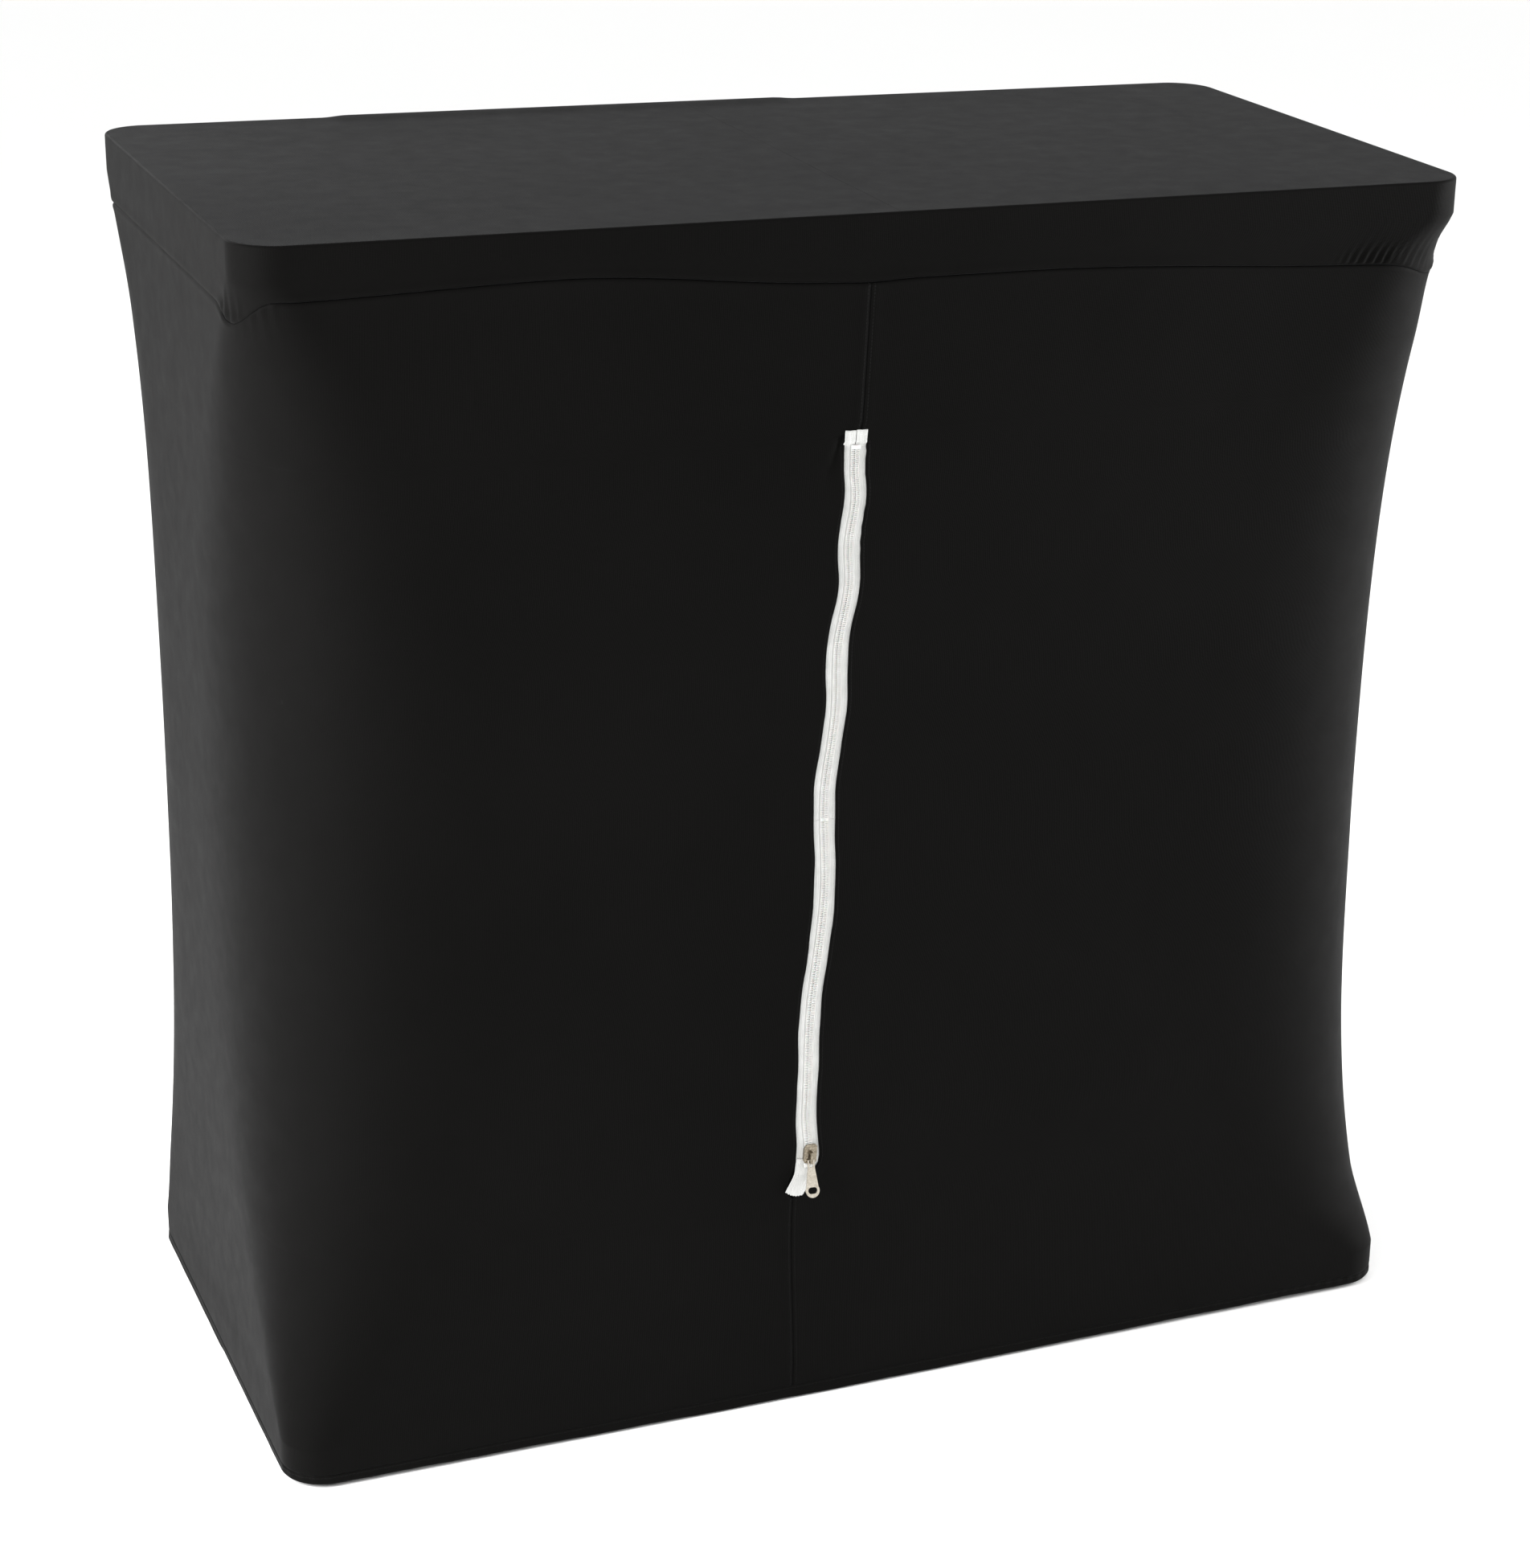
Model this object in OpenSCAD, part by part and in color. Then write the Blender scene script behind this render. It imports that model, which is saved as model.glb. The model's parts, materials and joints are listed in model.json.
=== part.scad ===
// Free-standing counter enclosure: a stretch cover with a front zip over a knock-down frame.
// Origin: centre of the footprint, on the floor. +Z up, +X right, front (zip side) at -Y.
// Millimetres.

/* [Cover] */
// Width of the cover across the front
cover_w = 1000; // [900:10:1200]
// Depth of the cover from front to back
cover_d = 490; // [440:10:600]
// Height from the floor to the top of the cover
cover_h = 1000; // [850:10:1200]
// Thickness of the stretch fabric
cloth_t = 1; // [0.8:0.1:1.4]
// Space between the fabric and the edges of the boards
cloth_gap = 0.3; // [0.2:0.1:0.5]
// Corner radius of the cover where it wraps the boards
corner_r = 36; // [30:1:45]
// Corner radius of the cover at half height, where the fabric pulls in most
waist_r = 160; // [100:5:180]
// Height of the cap's apron, from the top down to the ring seam
apron_h = 52; // [45:1:70]
// Rounding of the top edge
arris_r = 2; // [1:0.5:4]
// Width of the hem that turns in under the base board
hem_w = 30; // [24:1:34]
// Thickness of the hem casing
hem_t = 3; // [2.8:0.1:4]
// Width of the elastic in the hem
elastic_w = 20; // [12:1:20]
// Thickness of the elastic in the hem
elastic_t = 1; // [0.6:0.1:1.2]

/* [Front zip] */
// Distance of the front seam from the centre line at the floor
seam_low = -73; // [-90:1:0]
// Distance of the front seam from the centre line at the ring seam
seam_high = -26; // [-40:1:0]
// Distance of the rear seam from the centre line
rear_seam = 60; // [-100:5:100]
// Height of the lower end of the zip opening above the floor
slot_low = 176; // [120:1:200]
// Distance from the cover's top down to the upper end of the zip opening
slot_top_drop = 162; // [130:1:260]
// Visible width of the zip tape
tape_show = 18; // [16:1:24]
// Seam allowance of the tape behind each fabric edge
tape_hide = 6; // [4:1:8]
// Thickness of the zip tape
tape_t = 0.6; // [0.5:0.1:0.8]
// Width of one half of the zip coil
coil_w = 2.6; // [2.2:0.1:3.2]
// Height of the zip coil above the tape
coil_h = 2.2; // [1.8:0.1:2.4]
// Space between the two halves of the coil
coil_gap = 2; // [1.8:0.1:2.6]
// Height of the slider's middle above the floor when the zip is closed
slider_z = 228; // [220:1:320]
// Width of the slider
slider_w = 11; // [10.6:0.1:12]
// Length of the slider
slider_l = 16.5; // [16:0.5:18]
// Thickness of each slider plate
plate_t = 1.3; // [1.1:0.1:1.6]
// Length of a pull
pull_l = 31; // [26:1:36]
// Thickness of a pull
pull_t = 1.4; // [1.2:0.1:1.5]
// Diameter of the ring end of a pull
pull_ring_d = 12; // [11:0.5:14]
// Running gap around the slider and the pulls
slide_gap = 0.3; // [0.3:0.05:0.4]

/* [Boards] */
// Thickness of the top board and of the base board
board_t = 28; // [24:1:36]
// Thickness of the middle shelf
shelf_t = 16; // [12:1:22]
// Reach of the middle shelf past the uprights' axes at each side
shelf_side = 35; // [20:1:40]
// Reach of the middle shelf past the uprights' axes at the front and rear
shelf_front = 50; // [20:1:55]
// Corner radius of the middle shelf
shelf_r = 60; // [40:5:80]
// Height of the shelf's underside above the floor
shelf_z = 492; // [420:2:560]

/* [Uprights] */
// Distance of each upright from the cover's side
upright_inset_x = 95; // [90:5:110]
// Distance of each upright from the cover's front or rear
upright_inset_y = 95; // [90:5:100]
// Outer diameter of the upright tube
tube_d = 30; // [25:1:34]
// Wall of the upright tube
tube_wall = 1.5; // [1.2:0.1:2.5]
// Diameter of a socket's flange
flange_d = 62; // [60:1:70]
// Thickness of a socket's flange
flange_t = 3; // [3:0.5:5]
// Height of a socket
socket_h = 25; // [15:1:35]
// Wall of a socket around the tube
socket_wall = 3; // [2:0.5:3.5]
// Number of screws in a socket
screws_each = 3; // [2:1:4]
// Diameter of a wood screw
screw_d = 4; // [3.5:0.1:4.5]
// Diameter of a wood screw's head
screw_head_d = 7.5; // [7:0.1:8]
// Length of a wood screw
screw_l = 20; // [16:1:23]
// Length of a threaded plug in a tube's end
plug_l = 25; // [20:1:40]
// Diameter of the stud that joins two uprights through the shelf
stud_d = 8; // [6:1:10]
// Length of that stud past the shelf on each side
stud_reach = 20; // [15:1:20]
// Space around a plug or a stud in its hole
fit_gap = 0.1; // [0.05:0.05:0.15]

/* [Feet] */
// Gap between the floor and the base board
foot_h = 6; // [6:0.5:10]
// Diameter of a foot pad
pad_d = 40; // [30:1:44]
// Distance of each foot from the cover's side, front or rear
foot_inset = 60; // [56:1:70]
// Diameter of a foot's threaded stud
foot_stud_d = 8; // [8:1:10]
// Length of a foot's threaded stud above the base board's underside
foot_stud_l = 18; // [14:1:20]
// Diameter of the threaded insert
insert_d = 12; // [12:0.5:16]
// Length of the threaded insert
insert_l = 13; // [10:1:13]
// Running clearance of a foot's stud in its insert
stud_play = 0.05; // [0.03:0.01:0.1]

/* [Hidden] */

eps = 0.01;
far = 1000;
fine = 72;

// Corner signs: left or right, front or rear
LEFT = -1;
RIGHT = 1;
FRONT = -1;
REAR = 1;
CORNERS = [[LEFT, FRONT], [RIGHT, FRONT], [LEFT, REAR], [RIGHT, REAR]];

// Boards
board_w = cover_w - 2 * (cloth_t + cloth_gap);
board_d = cover_d - 2 * (cloth_t + cloth_gap);
board_r = corner_r - cloth_t - cloth_gap;
base_z = foot_h;
base_top = base_z + board_t;
top_z = cover_h - cloth_t - board_t;

// Uprights
upright_x = cover_w / 2 - upright_inset_x;
upright_y = cover_d / 2 - upright_inset_y;
shelf_w = 2 * (upright_x + shelf_side);
shelf_d = 2 * (upright_y + shelf_front);
shelf_top = shelf_z + shelf_t;
tube_bore_d = tube_d - 2 * tube_wall;
socket_d = tube_d + 2 * socket_wall;
screw_pcd = (flange_d + socket_d) / 2;
head_h = (screw_head_d - screw_d) / 2;

// Feet
foot_x = cover_w / 2 - foot_inset;
foot_y = cover_d / 2 - foot_inset;
pad_gap = 1;
pad_h = foot_h - pad_gap;
pad_top_d = 0.7 * pad_d;
stud_flange_d = 18;
stud_flange_t = 2;
insert_hole_depth = foot_stud_l + 2;

// Cover
seam_z = cover_h - apron_h;
hem_z = base_z - hem_t;
bow_power = 2.7;
corner_steps = 8;
bow_levels = 14;

// Corner radius of the cover's outside at height z: the boards hold it at corner_r, and
// between them the fabric pulls in towards waist_r.
function bow(z) =
    let (u = (z - base_top) / (top_z - base_top))
    u <= 0 || u >= 1 ? 0 : 1 - pow(abs(2 * u - 1), bow_power);
function cover_r(z) = corner_r + (waist_r - corner_r) * bow(z);

// One ring of a rounded rectangle, inset from the cover's outside
function ring(z, inset) =
    let (r = cover_r(z) - inset, x = cover_w / 2 - cover_r(z), y = cover_d / 2 - cover_r(z))
    [for (q = [0 : 3], i = [0 : corner_steps])
        let (a = 90 * (q + i / corner_steps), sx = q == 0 || q == 3 ? 1 : -1, sy = q < 2 ? 1 : -1)
        [sx * x + r * cos(a), sy * y + r * sin(a), z]];

// Heights of the rings of the bowed part between two heights
function bow_z(z0, z1) =
    [z0, if (z0 < base_top) base_top,
        for (i = [1 : bow_levels - 1])
            let (z = base_top + (top_z - base_top) * (1 - cos(180 * i / bow_levels)) / 2)
            if (z > z0 + 1 && z < z1 - 1) z,
        if (z1 > top_z) top_z, z1];

// Closed solid through rings; each level is [height, inset]
module loft(levels) {
    n = 4 * (corner_steps + 1);
    last = len(levels) - 1;
    points = [for (l = levels) each ring(l[0], l[1])];
    sides = [for (k = [0 : last - 1], i = [0 : n - 1])
        let (a = k * n + i, b = k * n + (i + 1) % n)
        each [[a, a + n, b], [b, a + n, b + n]]];
    bottom = [[for (i = [0 : n - 1]) i]];
    top = [[for (i = [n - 1 : -1 : 0]) last * n + i]];
    polyhedron(points, concat(sides, bottom, top), convexity = 4);
}

// Front seam: a straight line that leans a little
seam_lean = atan((seam_high - seam_low) / seam_z);
function seam_x(z) = seam_low + z * tan(seam_lean);

// Zip
slot_top = cover_h - slot_top_drop;
slot_ramp = 14;
zip_y = -cover_d / 2 + cloth_t + tape_t / 2;
tape_high = slot_top - 4;
tape_outer = tape_show / 2 + tape_hide;
coil_low = slider_z - slider_l / 2 - 2;
coil_high = slot_top - slot_ramp - 4;
stop_l = 3;
tape_low = coil_low - stop_l - 2;
chain_outer = coil_gap / 2 + coil_w;
plate_in = tape_t / 2 + coil_h + slide_gap;
rear_plate_in = tape_t / 2 + slide_gap;
neck_w = coil_gap - 2 * slide_gap - 0.2;
neck_l = 3;
flange_w = slider_w / 2 - chain_outer - slide_gap;
bridge_w = 2.2;
bridge_t = 1.4;
bridge_l = 10;
bridge_drop = 3;
window_h = pull_t + 2 * slide_gap + 0.1;
rim_h = 0.67;
rim_t = 1.05;
eye_w = bridge_w + 1;
eye_l = 5;
eye_arm = 1.4;
ring_wall = 2;
ring_slot = 2.5;
ring_hole_r = (pull_ring_d - ring_slot) / 2 - ring_wall;
pivot_z = -bridge_drop - bridge_l / 2 + bridge_t + slide_gap + pull_t / 2;
pivot_out = plate_t + window_h / 2;
// The front pull leans on the rim of its plate; the rear one hangs straight down
pull_lean = asin((pull_t / 2 + 0.5 * slide_gap + rim_h - window_h / 2)
    / (slider_l / 2 + pivot_z - rim_t)) + 1.5;

module at_seam(z) {
    translate([seam_x(z), zip_y, z]) rotate([0, seam_lean, 0]) children();
}

// Length along the leaning seam for a height
function along(z) = z / cos(seam_lean);

module rounded_plate(w, d, r, t) {
    linear_extrude(t) difference() {
        square([w, d], center = true);
        for (c = CORNERS)
            translate([c[0] * w / 2, c[1] * d / 2]) difference() {
                square(2 * r, center = true);
                translate([-c[0] * r, -c[1] * r]) circle(r, $fn = fine);
            }
    }
}

module at_uprights() {
    for (c = CORNERS) translate([c[0] * upright_x, c[1] * upright_y, 0]) children();
}

module at_feet() {
    for (c = CORNERS) translate([c[0] * foot_x, c[1] * foot_y, 0]) children();
}

module at_screws() {
    for (i = [0 : screws_each - 1]) rotate(45 + i * 360 / screws_each)
        translate([screw_pcd / 2, 0, 0]) children();
}

// Wood screw with its head's top at z = 0, pointing up
module screw() {
    cylinder(h = head_h, d1 = screw_head_d, d2 = screw_d, $fn = fine);
    translate([0, 0, head_h - eps]) cylinder(h = screw_l - head_h + eps, d = screw_d, $fn = fine);
}

// ---- Boards ----
module top_board() {
    color("burlywood") difference() {
        translate([0, 0, top_z]) rounded_plate(board_w, board_d, board_r, board_t);
        at_uprights() at_screws() translate([0, 0, top_z - flange_t]) screw();
    }
}

module base_board() {
    color("burlywood") difference() {
        translate([0, 0, base_z]) rounded_plate(board_w, board_d, board_r, board_t);
        at_uprights() at_screws() translate([0, 0, base_top + flange_t]) mirror([0, 0, 1]) screw();
        at_feet() translate([0, 0, base_z - eps])
            cylinder(h = insert_hole_depth + eps, d = insert_d, $fn = fine);
    }
}

module shelf() {
    color("burlywood") difference() {
        translate([0, 0, shelf_z]) rounded_plate(shelf_w, shelf_d, shelf_r, shelf_t);
        at_uprights() translate([0, 0, shelf_z - eps])
            cylinder(h = shelf_t + 2 * eps, d = stud_d + 2 * fit_gap, $fn = fine);
    }
}

// ---- Uprights ----
module upright(side, face, z0, z1) {
    color("silver") translate([side * upright_x, face * upright_y, z0]) difference() {
        cylinder(h = z1 - z0, d = tube_d, $fn = fine);
        translate([0, 0, -eps]) cylinder(h = z1 - z0 + 2 * eps, d = tube_bore_d, $fn = fine);
    }
}

module lower_upright(side, face) {
    upright(side, face, base_top + flange_t, shelf_z);
}

module upper_upright(side, face) {
    upright(side, face, shelf_top, top_z - flange_t);
}

// Flanged socket standing on z = 0, with the tube's seat above its flange
module socket() {
    difference() {
        union() {
            cylinder(h = flange_t, d = flange_d, $fn = fine);
            cylinder(h = socket_h, d = socket_d, $fn = fine);
        }
        translate([0, 0, flange_t]) cylinder(h = socket_h, d = tube_d + 2 * fit_gap, $fn = fine);
        at_screws() translate([0, 0, flange_t]) mirror([0, 0, 1]) screw();
    }
}

module base_sockets() {
    color("dimgray") at_uprights() translate([0, 0, base_top]) socket();
}

module base_socket_screws() {
    color("silver") at_uprights() at_screws() translate([0, 0, base_top + flange_t])
        mirror([0, 0, 1]) screw();
}

module top_sockets() {
    color("dimgray") at_uprights() translate([0, 0, top_z]) mirror([0, 0, 1]) socket();
}

module top_socket_screws() {
    color("silver") at_uprights() at_screws() translate([0, 0, top_z - flange_t]) screw();
}

// Threaded plugs in the tubes' ends at the shelf
module plugs(z) {
    color("dimgray") at_uprights() translate([0, 0, z]) difference() {
        cylinder(h = plug_l, d = tube_bore_d - 2 * fit_gap, $fn = fine);
        translate([0, 0, -eps]) cylinder(h = plug_l + 2 * eps, d = stud_d, $fn = fine);
    }
}

module lower_upright_plugs() {
    plugs(shelf_z - plug_l);
}

module upper_upright_plugs() {
    plugs(shelf_top);
}

module shelf_studs() {
    color("silver") at_uprights() translate([0, 0, shelf_z - stud_reach])
        cylinder(h = shelf_t + 2 * stud_reach, d = stud_d, $fn = fine);
}

// ---- Levelling feet ----
module foot_inserts() {
    color("goldenrod") at_feet() translate([0, 0, base_z]) difference() {
        cylinder(h = insert_l, d = insert_d, $fn = fine);
        translate([0, 0, -eps])
            cylinder(h = insert_l + 2 * eps, d = foot_stud_d + 2 * stud_play, $fn = fine);
    }
}

module stud_flange() {
    translate([0, 0, pad_h - stud_flange_t]) cylinder(h = stud_flange_t, d = stud_flange_d, $fn = fine);
}

module foot_pad(side, face) {
    color("black") translate([side * foot_x, face * foot_y, 0]) difference() {
        union() {
            cylinder(h = pad_h / 2, d = pad_d, $fn = fine);
            translate([0, 0, pad_h / 2]) cylinder(h = pad_h / 2, d1 = pad_d, d2 = pad_top_d, $fn = fine);
        }
        translate([0, 0, pad_h - stud_flange_t])
            cylinder(h = stud_flange_t + eps, d = stud_flange_d, $fn = fine);
    }
}

module foot_stud(side, face) {
    color("silver") translate([side * foot_x, face * foot_y, 0]) {
        stud_flange();
        translate([0, 0, pad_h - eps])
            cylinder(h = pad_gap + foot_stud_l + eps, d = foot_stud_d, $fn = fine);
    }
}

// ---- Cover ----
module cover_cap() {
    color("#1b1a19") difference() {
        loft(concat(
            [for (z = bow_z(seam_z, cover_h - arris_r)) [z, 0]],
            [for (a = [30 : 30 : 90]) [cover_h - arris_r * (1 - sin(a)), arris_r * (1 - cos(a))]]));
        loft(concat(
            [[seam_z - eps, cloth_t]],
            [for (z = bow_z(seam_z, cover_h - cloth_t)) if (z > seam_z) [z, cloth_t]]));
    }
}

// Tube of fabric from the hem up to the ring seam
module sleeve_shell() {
    difference() {
        loft([for (z = bow_z(base_z, seam_z)) [z, 0]]);
        loft(concat(
            [[base_z - eps, cloth_t]],
            [for (z = bow_z(base_z, seam_z)) if (z > base_z && z < seam_z) [z, cloth_t]],
            [[seam_z + eps, cloth_t]]));
    }
}

// Half of the space in front of the centre, up to the seam on one side, less the zip's opening
module front_half(side) {
    edge = side * tape_show / 2 / cos(seam_lean);
    translate([0, eps, 0]) rotate([90, 0, 0]) linear_extrude(cover_d) polygon([
        [side * far, 0], [seam_x(0), 0], [seam_x(slot_low), slot_low],
        [seam_x(slot_low + slot_ramp) + edge, slot_low + slot_ramp],
        [seam_x(slot_top - slot_ramp) + edge, slot_top - slot_ramp],
        [seam_x(slot_top), slot_top], [seam_x(cover_h), cover_h], [side * far, cover_h]]);
}

module rear_half(side) {
    translate([side < 0 ? -far : rear_seam, 0, 0])
        cube([side < 0 ? far + rear_seam : far, cover_d, cover_h]);
}

module sleeve(side) {
    color("#1b1a19") intersection() {
        sleeve_shell();
        union() {
            front_half(side);
            rear_half(side);
        }
    }
}

module cover_sleeve_left() {
    sleeve(LEFT);
}

module cover_sleeve_right() {
    sleeve(RIGHT);
}

// Flat ring under the base board's edge; hollow for the elastic
module flat_ring(inset, w, z, t) {
    translate([0, 0, z]) difference() {
        rounded_plate(cover_w - 2 * inset, cover_d - 2 * inset, max(corner_r - inset, 1), t);
        translate([0, 0, -eps]) rounded_plate(cover_w - 2 * (inset + w), cover_d - 2 * (inset + w),
            max(corner_r - inset - w, 1), t + 2 * eps);
    }
}

elastic_inset = (hem_w - elastic_w) / 2;
elastic_z = hem_z + (hem_t - elastic_t) / 2;

module hem_casing() {
    color("#1b1a19") difference() {
        flat_ring(0, hem_w, hem_z, hem_t);
        flat_ring(elastic_inset, elastic_w, elastic_z, elastic_t);
    }
}

module hem_elastic() {
    color("white") flat_ring(elastic_inset, elastic_w, elastic_z, elastic_t);
}

// ---- Zip ----
// Strip along the seam, from z0 up to z1, on one side
module strip(side, x0, x1, y0, y1, z0, z1) {
    at_seam(0) translate([side > 0 ? x0 : -x1, y0, along(z0)])
        cube([x1 - x0, y1 - y0, along(z1) - along(z0)]);
}

module zip_tape(side) {
    color("white") strip(side, coil_gap / 2, tape_outer, -tape_t / 2, tape_t / 2, tape_low, tape_high);
}

module zip_coil(side) {
    color("white") strip(side, coil_gap / 2, chain_outer, -tape_t / 2 - coil_h, -tape_t / 2,
        coil_low, coil_high);
}

module zip_tape_left() {
    zip_tape(LEFT);
}

module zip_tape_right() {
    zip_tape(RIGHT);
}

module zip_coil_left() {
    zip_coil(LEFT);
}

module zip_coil_right() {
    zip_coil(RIGHT);
}

// Staple across both coils
module zip_stop(z) {
    color("white") strip(RIGHT, -chain_outer, chain_outer, -tape_t / 2 - coil_h, -tape_t / 2,
        z, z + stop_l);
}

module zip_top_stop() {
    zip_stop(coil_high);
}

module zip_bottom_stop() {
    zip_stop(coil_low - stop_l);
}

// Outline of a slider plate, across x and along z: wide at the mouth, narrower at the tail
module plate_outline() {
    shoulder = slider_w / 2 - 1.5;
    for (x = [-shoulder, shoulder]) translate([x, -slider_l / 2 + 1.5]) circle(1.5, $fn = fine);
    translate([-slider_w / 2, -slider_l / 2 + 1.5]) square([slider_w, slider_l - 1.5 - 3]);
    translate([-shoulder, -slider_l / 2]) square([2 * shoulder, 3]);
    translate([-slider_w / 2 + 3, slider_l / 2 - 6]) square([slider_w - 6, 6]);
    for (x = [-1, 1]) translate([x * (slider_w / 2 - 3), slider_l / 2 - 3]) circle(3, $fn = fine);
}

// One plate with the bridge for the pull, facing -Y, inner face at y = 0
module slider_face() {
    rotate([90, 0, 0]) linear_extrude(plate_t) plate_outline();
    translate([-bridge_w / 2, -plate_t - window_h - bridge_t, -bridge_drop - bridge_l / 2]) difference() {
        cube([bridge_w, window_h + bridge_t + eps, bridge_l]);
        translate([-eps, bridge_t, bridge_t])
            cube([bridge_w + 2 * eps, window_h + 1, bridge_l - 2 * bridge_t]);
    }
}

module zip_slider() {
    color("#b9b2a3") at_seam(slider_z) {
        translate([0, -plate_in, 0]) slider_face();
        translate([-slider_w / 2 + 1.5, -plate_in - plate_t - rim_h, -slider_l / 2])
            cube([slider_w - 3, rim_h + eps, rim_t]);
        translate([0, rear_plate_in, 0]) mirror([0, 1, 0]) slider_face();
        translate([-neck_w / 2, -plate_in - eps, -slider_l / 2])
            cube([neck_w, plate_in + rear_plate_in + 2 * eps, neck_l]);
        for (s = [LEFT, RIGHT])
            translate([s * (slider_w - flange_w) / 2, -plate_in - eps, -slider_l / 2 + 1.5])
                translate([-flange_w / 2, 0, 0])
                    cube([flange_w, plate_in - rear_plate_in + eps, slider_l - 6]);
    }
}

// Pull hanging down from its eye, with the eye's bar on the origin, in the x-z plane
module pull_outline() {
    shoulder = eye_w / 2 + eye_arm;
    ring_r = pull_ring_d / 2;
    ring_z = -pull_l + ring_r;
    difference() {
        polygon(concat(
            [[-shoulder, 0], [shoulder, 0], [shoulder, -eye_l - pull_t]],
            [for (a = [30 : -10 : -210]) [ring_r * cos(a), ring_z + ring_r * sin(a)]],
            [[-shoulder, -eye_l - pull_t]]));
        translate([-eye_w / 2, -eye_l - pull_t / 2]) square([eye_w, eye_l + pull_t]);
        translate([0, ring_z]) {
            for (s = [-1, 1]) translate([s * ring_slot / 2, 0]) circle(ring_hole_r, $fn = fine);
            square([ring_slot, 2 * ring_hole_r], center = true);
        }
    }
}

module pull() {
    bar_l = eye_w + 2 * eye_arm;
    rotate([90, 0, 0]) translate([0, 0, -pull_t / 2]) linear_extrude(pull_t) pull_outline();
    translate([-bar_l / 2, 0, 0]) rotate([0, 90, 0]) cylinder(h = bar_l, d = pull_t, $fn = fine);
}

module zip_front_pull() {
    color("#b9b2a3") at_seam(slider_z)
        translate([0, -plate_in - pivot_out, pivot_z]) rotate([-pull_lean, 0, 0]) pull();
}

module zip_rear_pull() {
    color("#b9b2a3") at_seam(slider_z)
        translate([0, rear_plate_in + pivot_out, pivot_z]) pull();
}

top_board();
base_board();
shelf();
lower_upright(LEFT, FRONT);  // lower_upright_front_left
lower_upright(RIGHT, FRONT);  // lower_upright_front_right
lower_upright(LEFT, REAR);  // lower_upright_rear_left
lower_upright(RIGHT, REAR);  // lower_upright_rear_right
upper_upright(LEFT, FRONT);  // upper_upright_front_left
upper_upright(RIGHT, FRONT);  // upper_upright_front_right
upper_upright(LEFT, REAR);  // upper_upright_rear_left
upper_upright(RIGHT, REAR);  // upper_upright_rear_right
base_sockets();
base_socket_screws();
top_sockets();
top_socket_screws();
lower_upright_plugs();
upper_upright_plugs();
shelf_studs();
foot_inserts();
foot_pad(LEFT, FRONT);  // foot_pad_front_left
foot_pad(RIGHT, FRONT);  // foot_pad_front_right
foot_pad(LEFT, REAR);  // foot_pad_rear_left
foot_pad(RIGHT, REAR);  // foot_pad_rear_right
foot_stud(LEFT, FRONT);  // foot_stud_front_left
foot_stud(RIGHT, FRONT);  // foot_stud_front_right
foot_stud(LEFT, REAR);  // foot_stud_rear_left
foot_stud(RIGHT, REAR);  // foot_stud_rear_right
cover_cap();
cover_sleeve_left();
cover_sleeve_right();
hem_casing();
hem_elastic();
zip_tape_left();
zip_tape_right();
zip_coil_left();
zip_coil_right();
zip_top_stop();
zip_bottom_stop();
zip_slider();
zip_front_pull();
zip_rear_pull();
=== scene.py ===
"""Looks of a free-standing counter enclosure: a black stretch cover with a white front zip.

Everything is in metres in the frame of the CAD model. Front is -Y, up is +Z.
"""

import json
import math

import bmesh
import bpy
import numpy as np
from mathutils import Matrix, Vector


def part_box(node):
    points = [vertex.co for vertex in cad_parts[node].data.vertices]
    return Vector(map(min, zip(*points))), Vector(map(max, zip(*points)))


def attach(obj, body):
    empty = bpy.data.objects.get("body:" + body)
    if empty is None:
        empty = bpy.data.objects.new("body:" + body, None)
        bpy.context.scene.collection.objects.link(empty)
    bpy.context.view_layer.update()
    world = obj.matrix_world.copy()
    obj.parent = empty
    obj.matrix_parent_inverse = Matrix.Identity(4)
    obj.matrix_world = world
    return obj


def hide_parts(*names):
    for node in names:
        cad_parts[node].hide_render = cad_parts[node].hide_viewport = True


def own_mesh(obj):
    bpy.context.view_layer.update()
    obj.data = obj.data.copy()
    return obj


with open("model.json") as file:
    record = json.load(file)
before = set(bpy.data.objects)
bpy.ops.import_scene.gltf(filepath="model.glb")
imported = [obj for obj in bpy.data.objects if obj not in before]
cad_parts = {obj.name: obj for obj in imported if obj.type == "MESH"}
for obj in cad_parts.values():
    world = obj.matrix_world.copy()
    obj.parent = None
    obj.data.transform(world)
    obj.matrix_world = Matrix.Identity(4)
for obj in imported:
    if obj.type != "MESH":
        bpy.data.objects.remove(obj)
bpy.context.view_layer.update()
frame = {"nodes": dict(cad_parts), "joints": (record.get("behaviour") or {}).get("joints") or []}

MM = 0.001
LEFT, RIGHT = -1, 1

# ---- Sizes taken from the frame ----
HALF_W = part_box("cover_cap")[1].x
HALF_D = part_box("cover_cap")[1].y
TOP_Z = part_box("cover_cap")[1].z
SEAM_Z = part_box("cover_cap")[0].z
BAND_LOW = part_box("base_board")[1].z
BAND_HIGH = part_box("top_board")[0].z
BASE_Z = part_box("base_board")[0].z
HEM_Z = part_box("hem_casing")[0].z
REAR_SEAM_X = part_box("cover_sleeve_left")[1].x
CLOTH_T = 1.0 * MM
CLOTH_FRONT = -HALF_D
TAPE_LOW, TAPE_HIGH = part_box("zip_tape_left")[0].z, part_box("zip_tape_left")[1].z
COIL_LOW, COIL_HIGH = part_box("zip_coil_left")[0].z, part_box("zip_coil_left")[1].z

SLIDE = next(j for j in frame["joints"] if j["name"] == "zip_slide")
LEAN = SLIDE["axis"][0] / SLIDE["axis"][2]
PIVOT = next(j for j in frame["joints"] if j["name"] == "front_pull_swing")["pos_m"]

# ---- Cover shape ----
BOARD_R = 36 * MM
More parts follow.
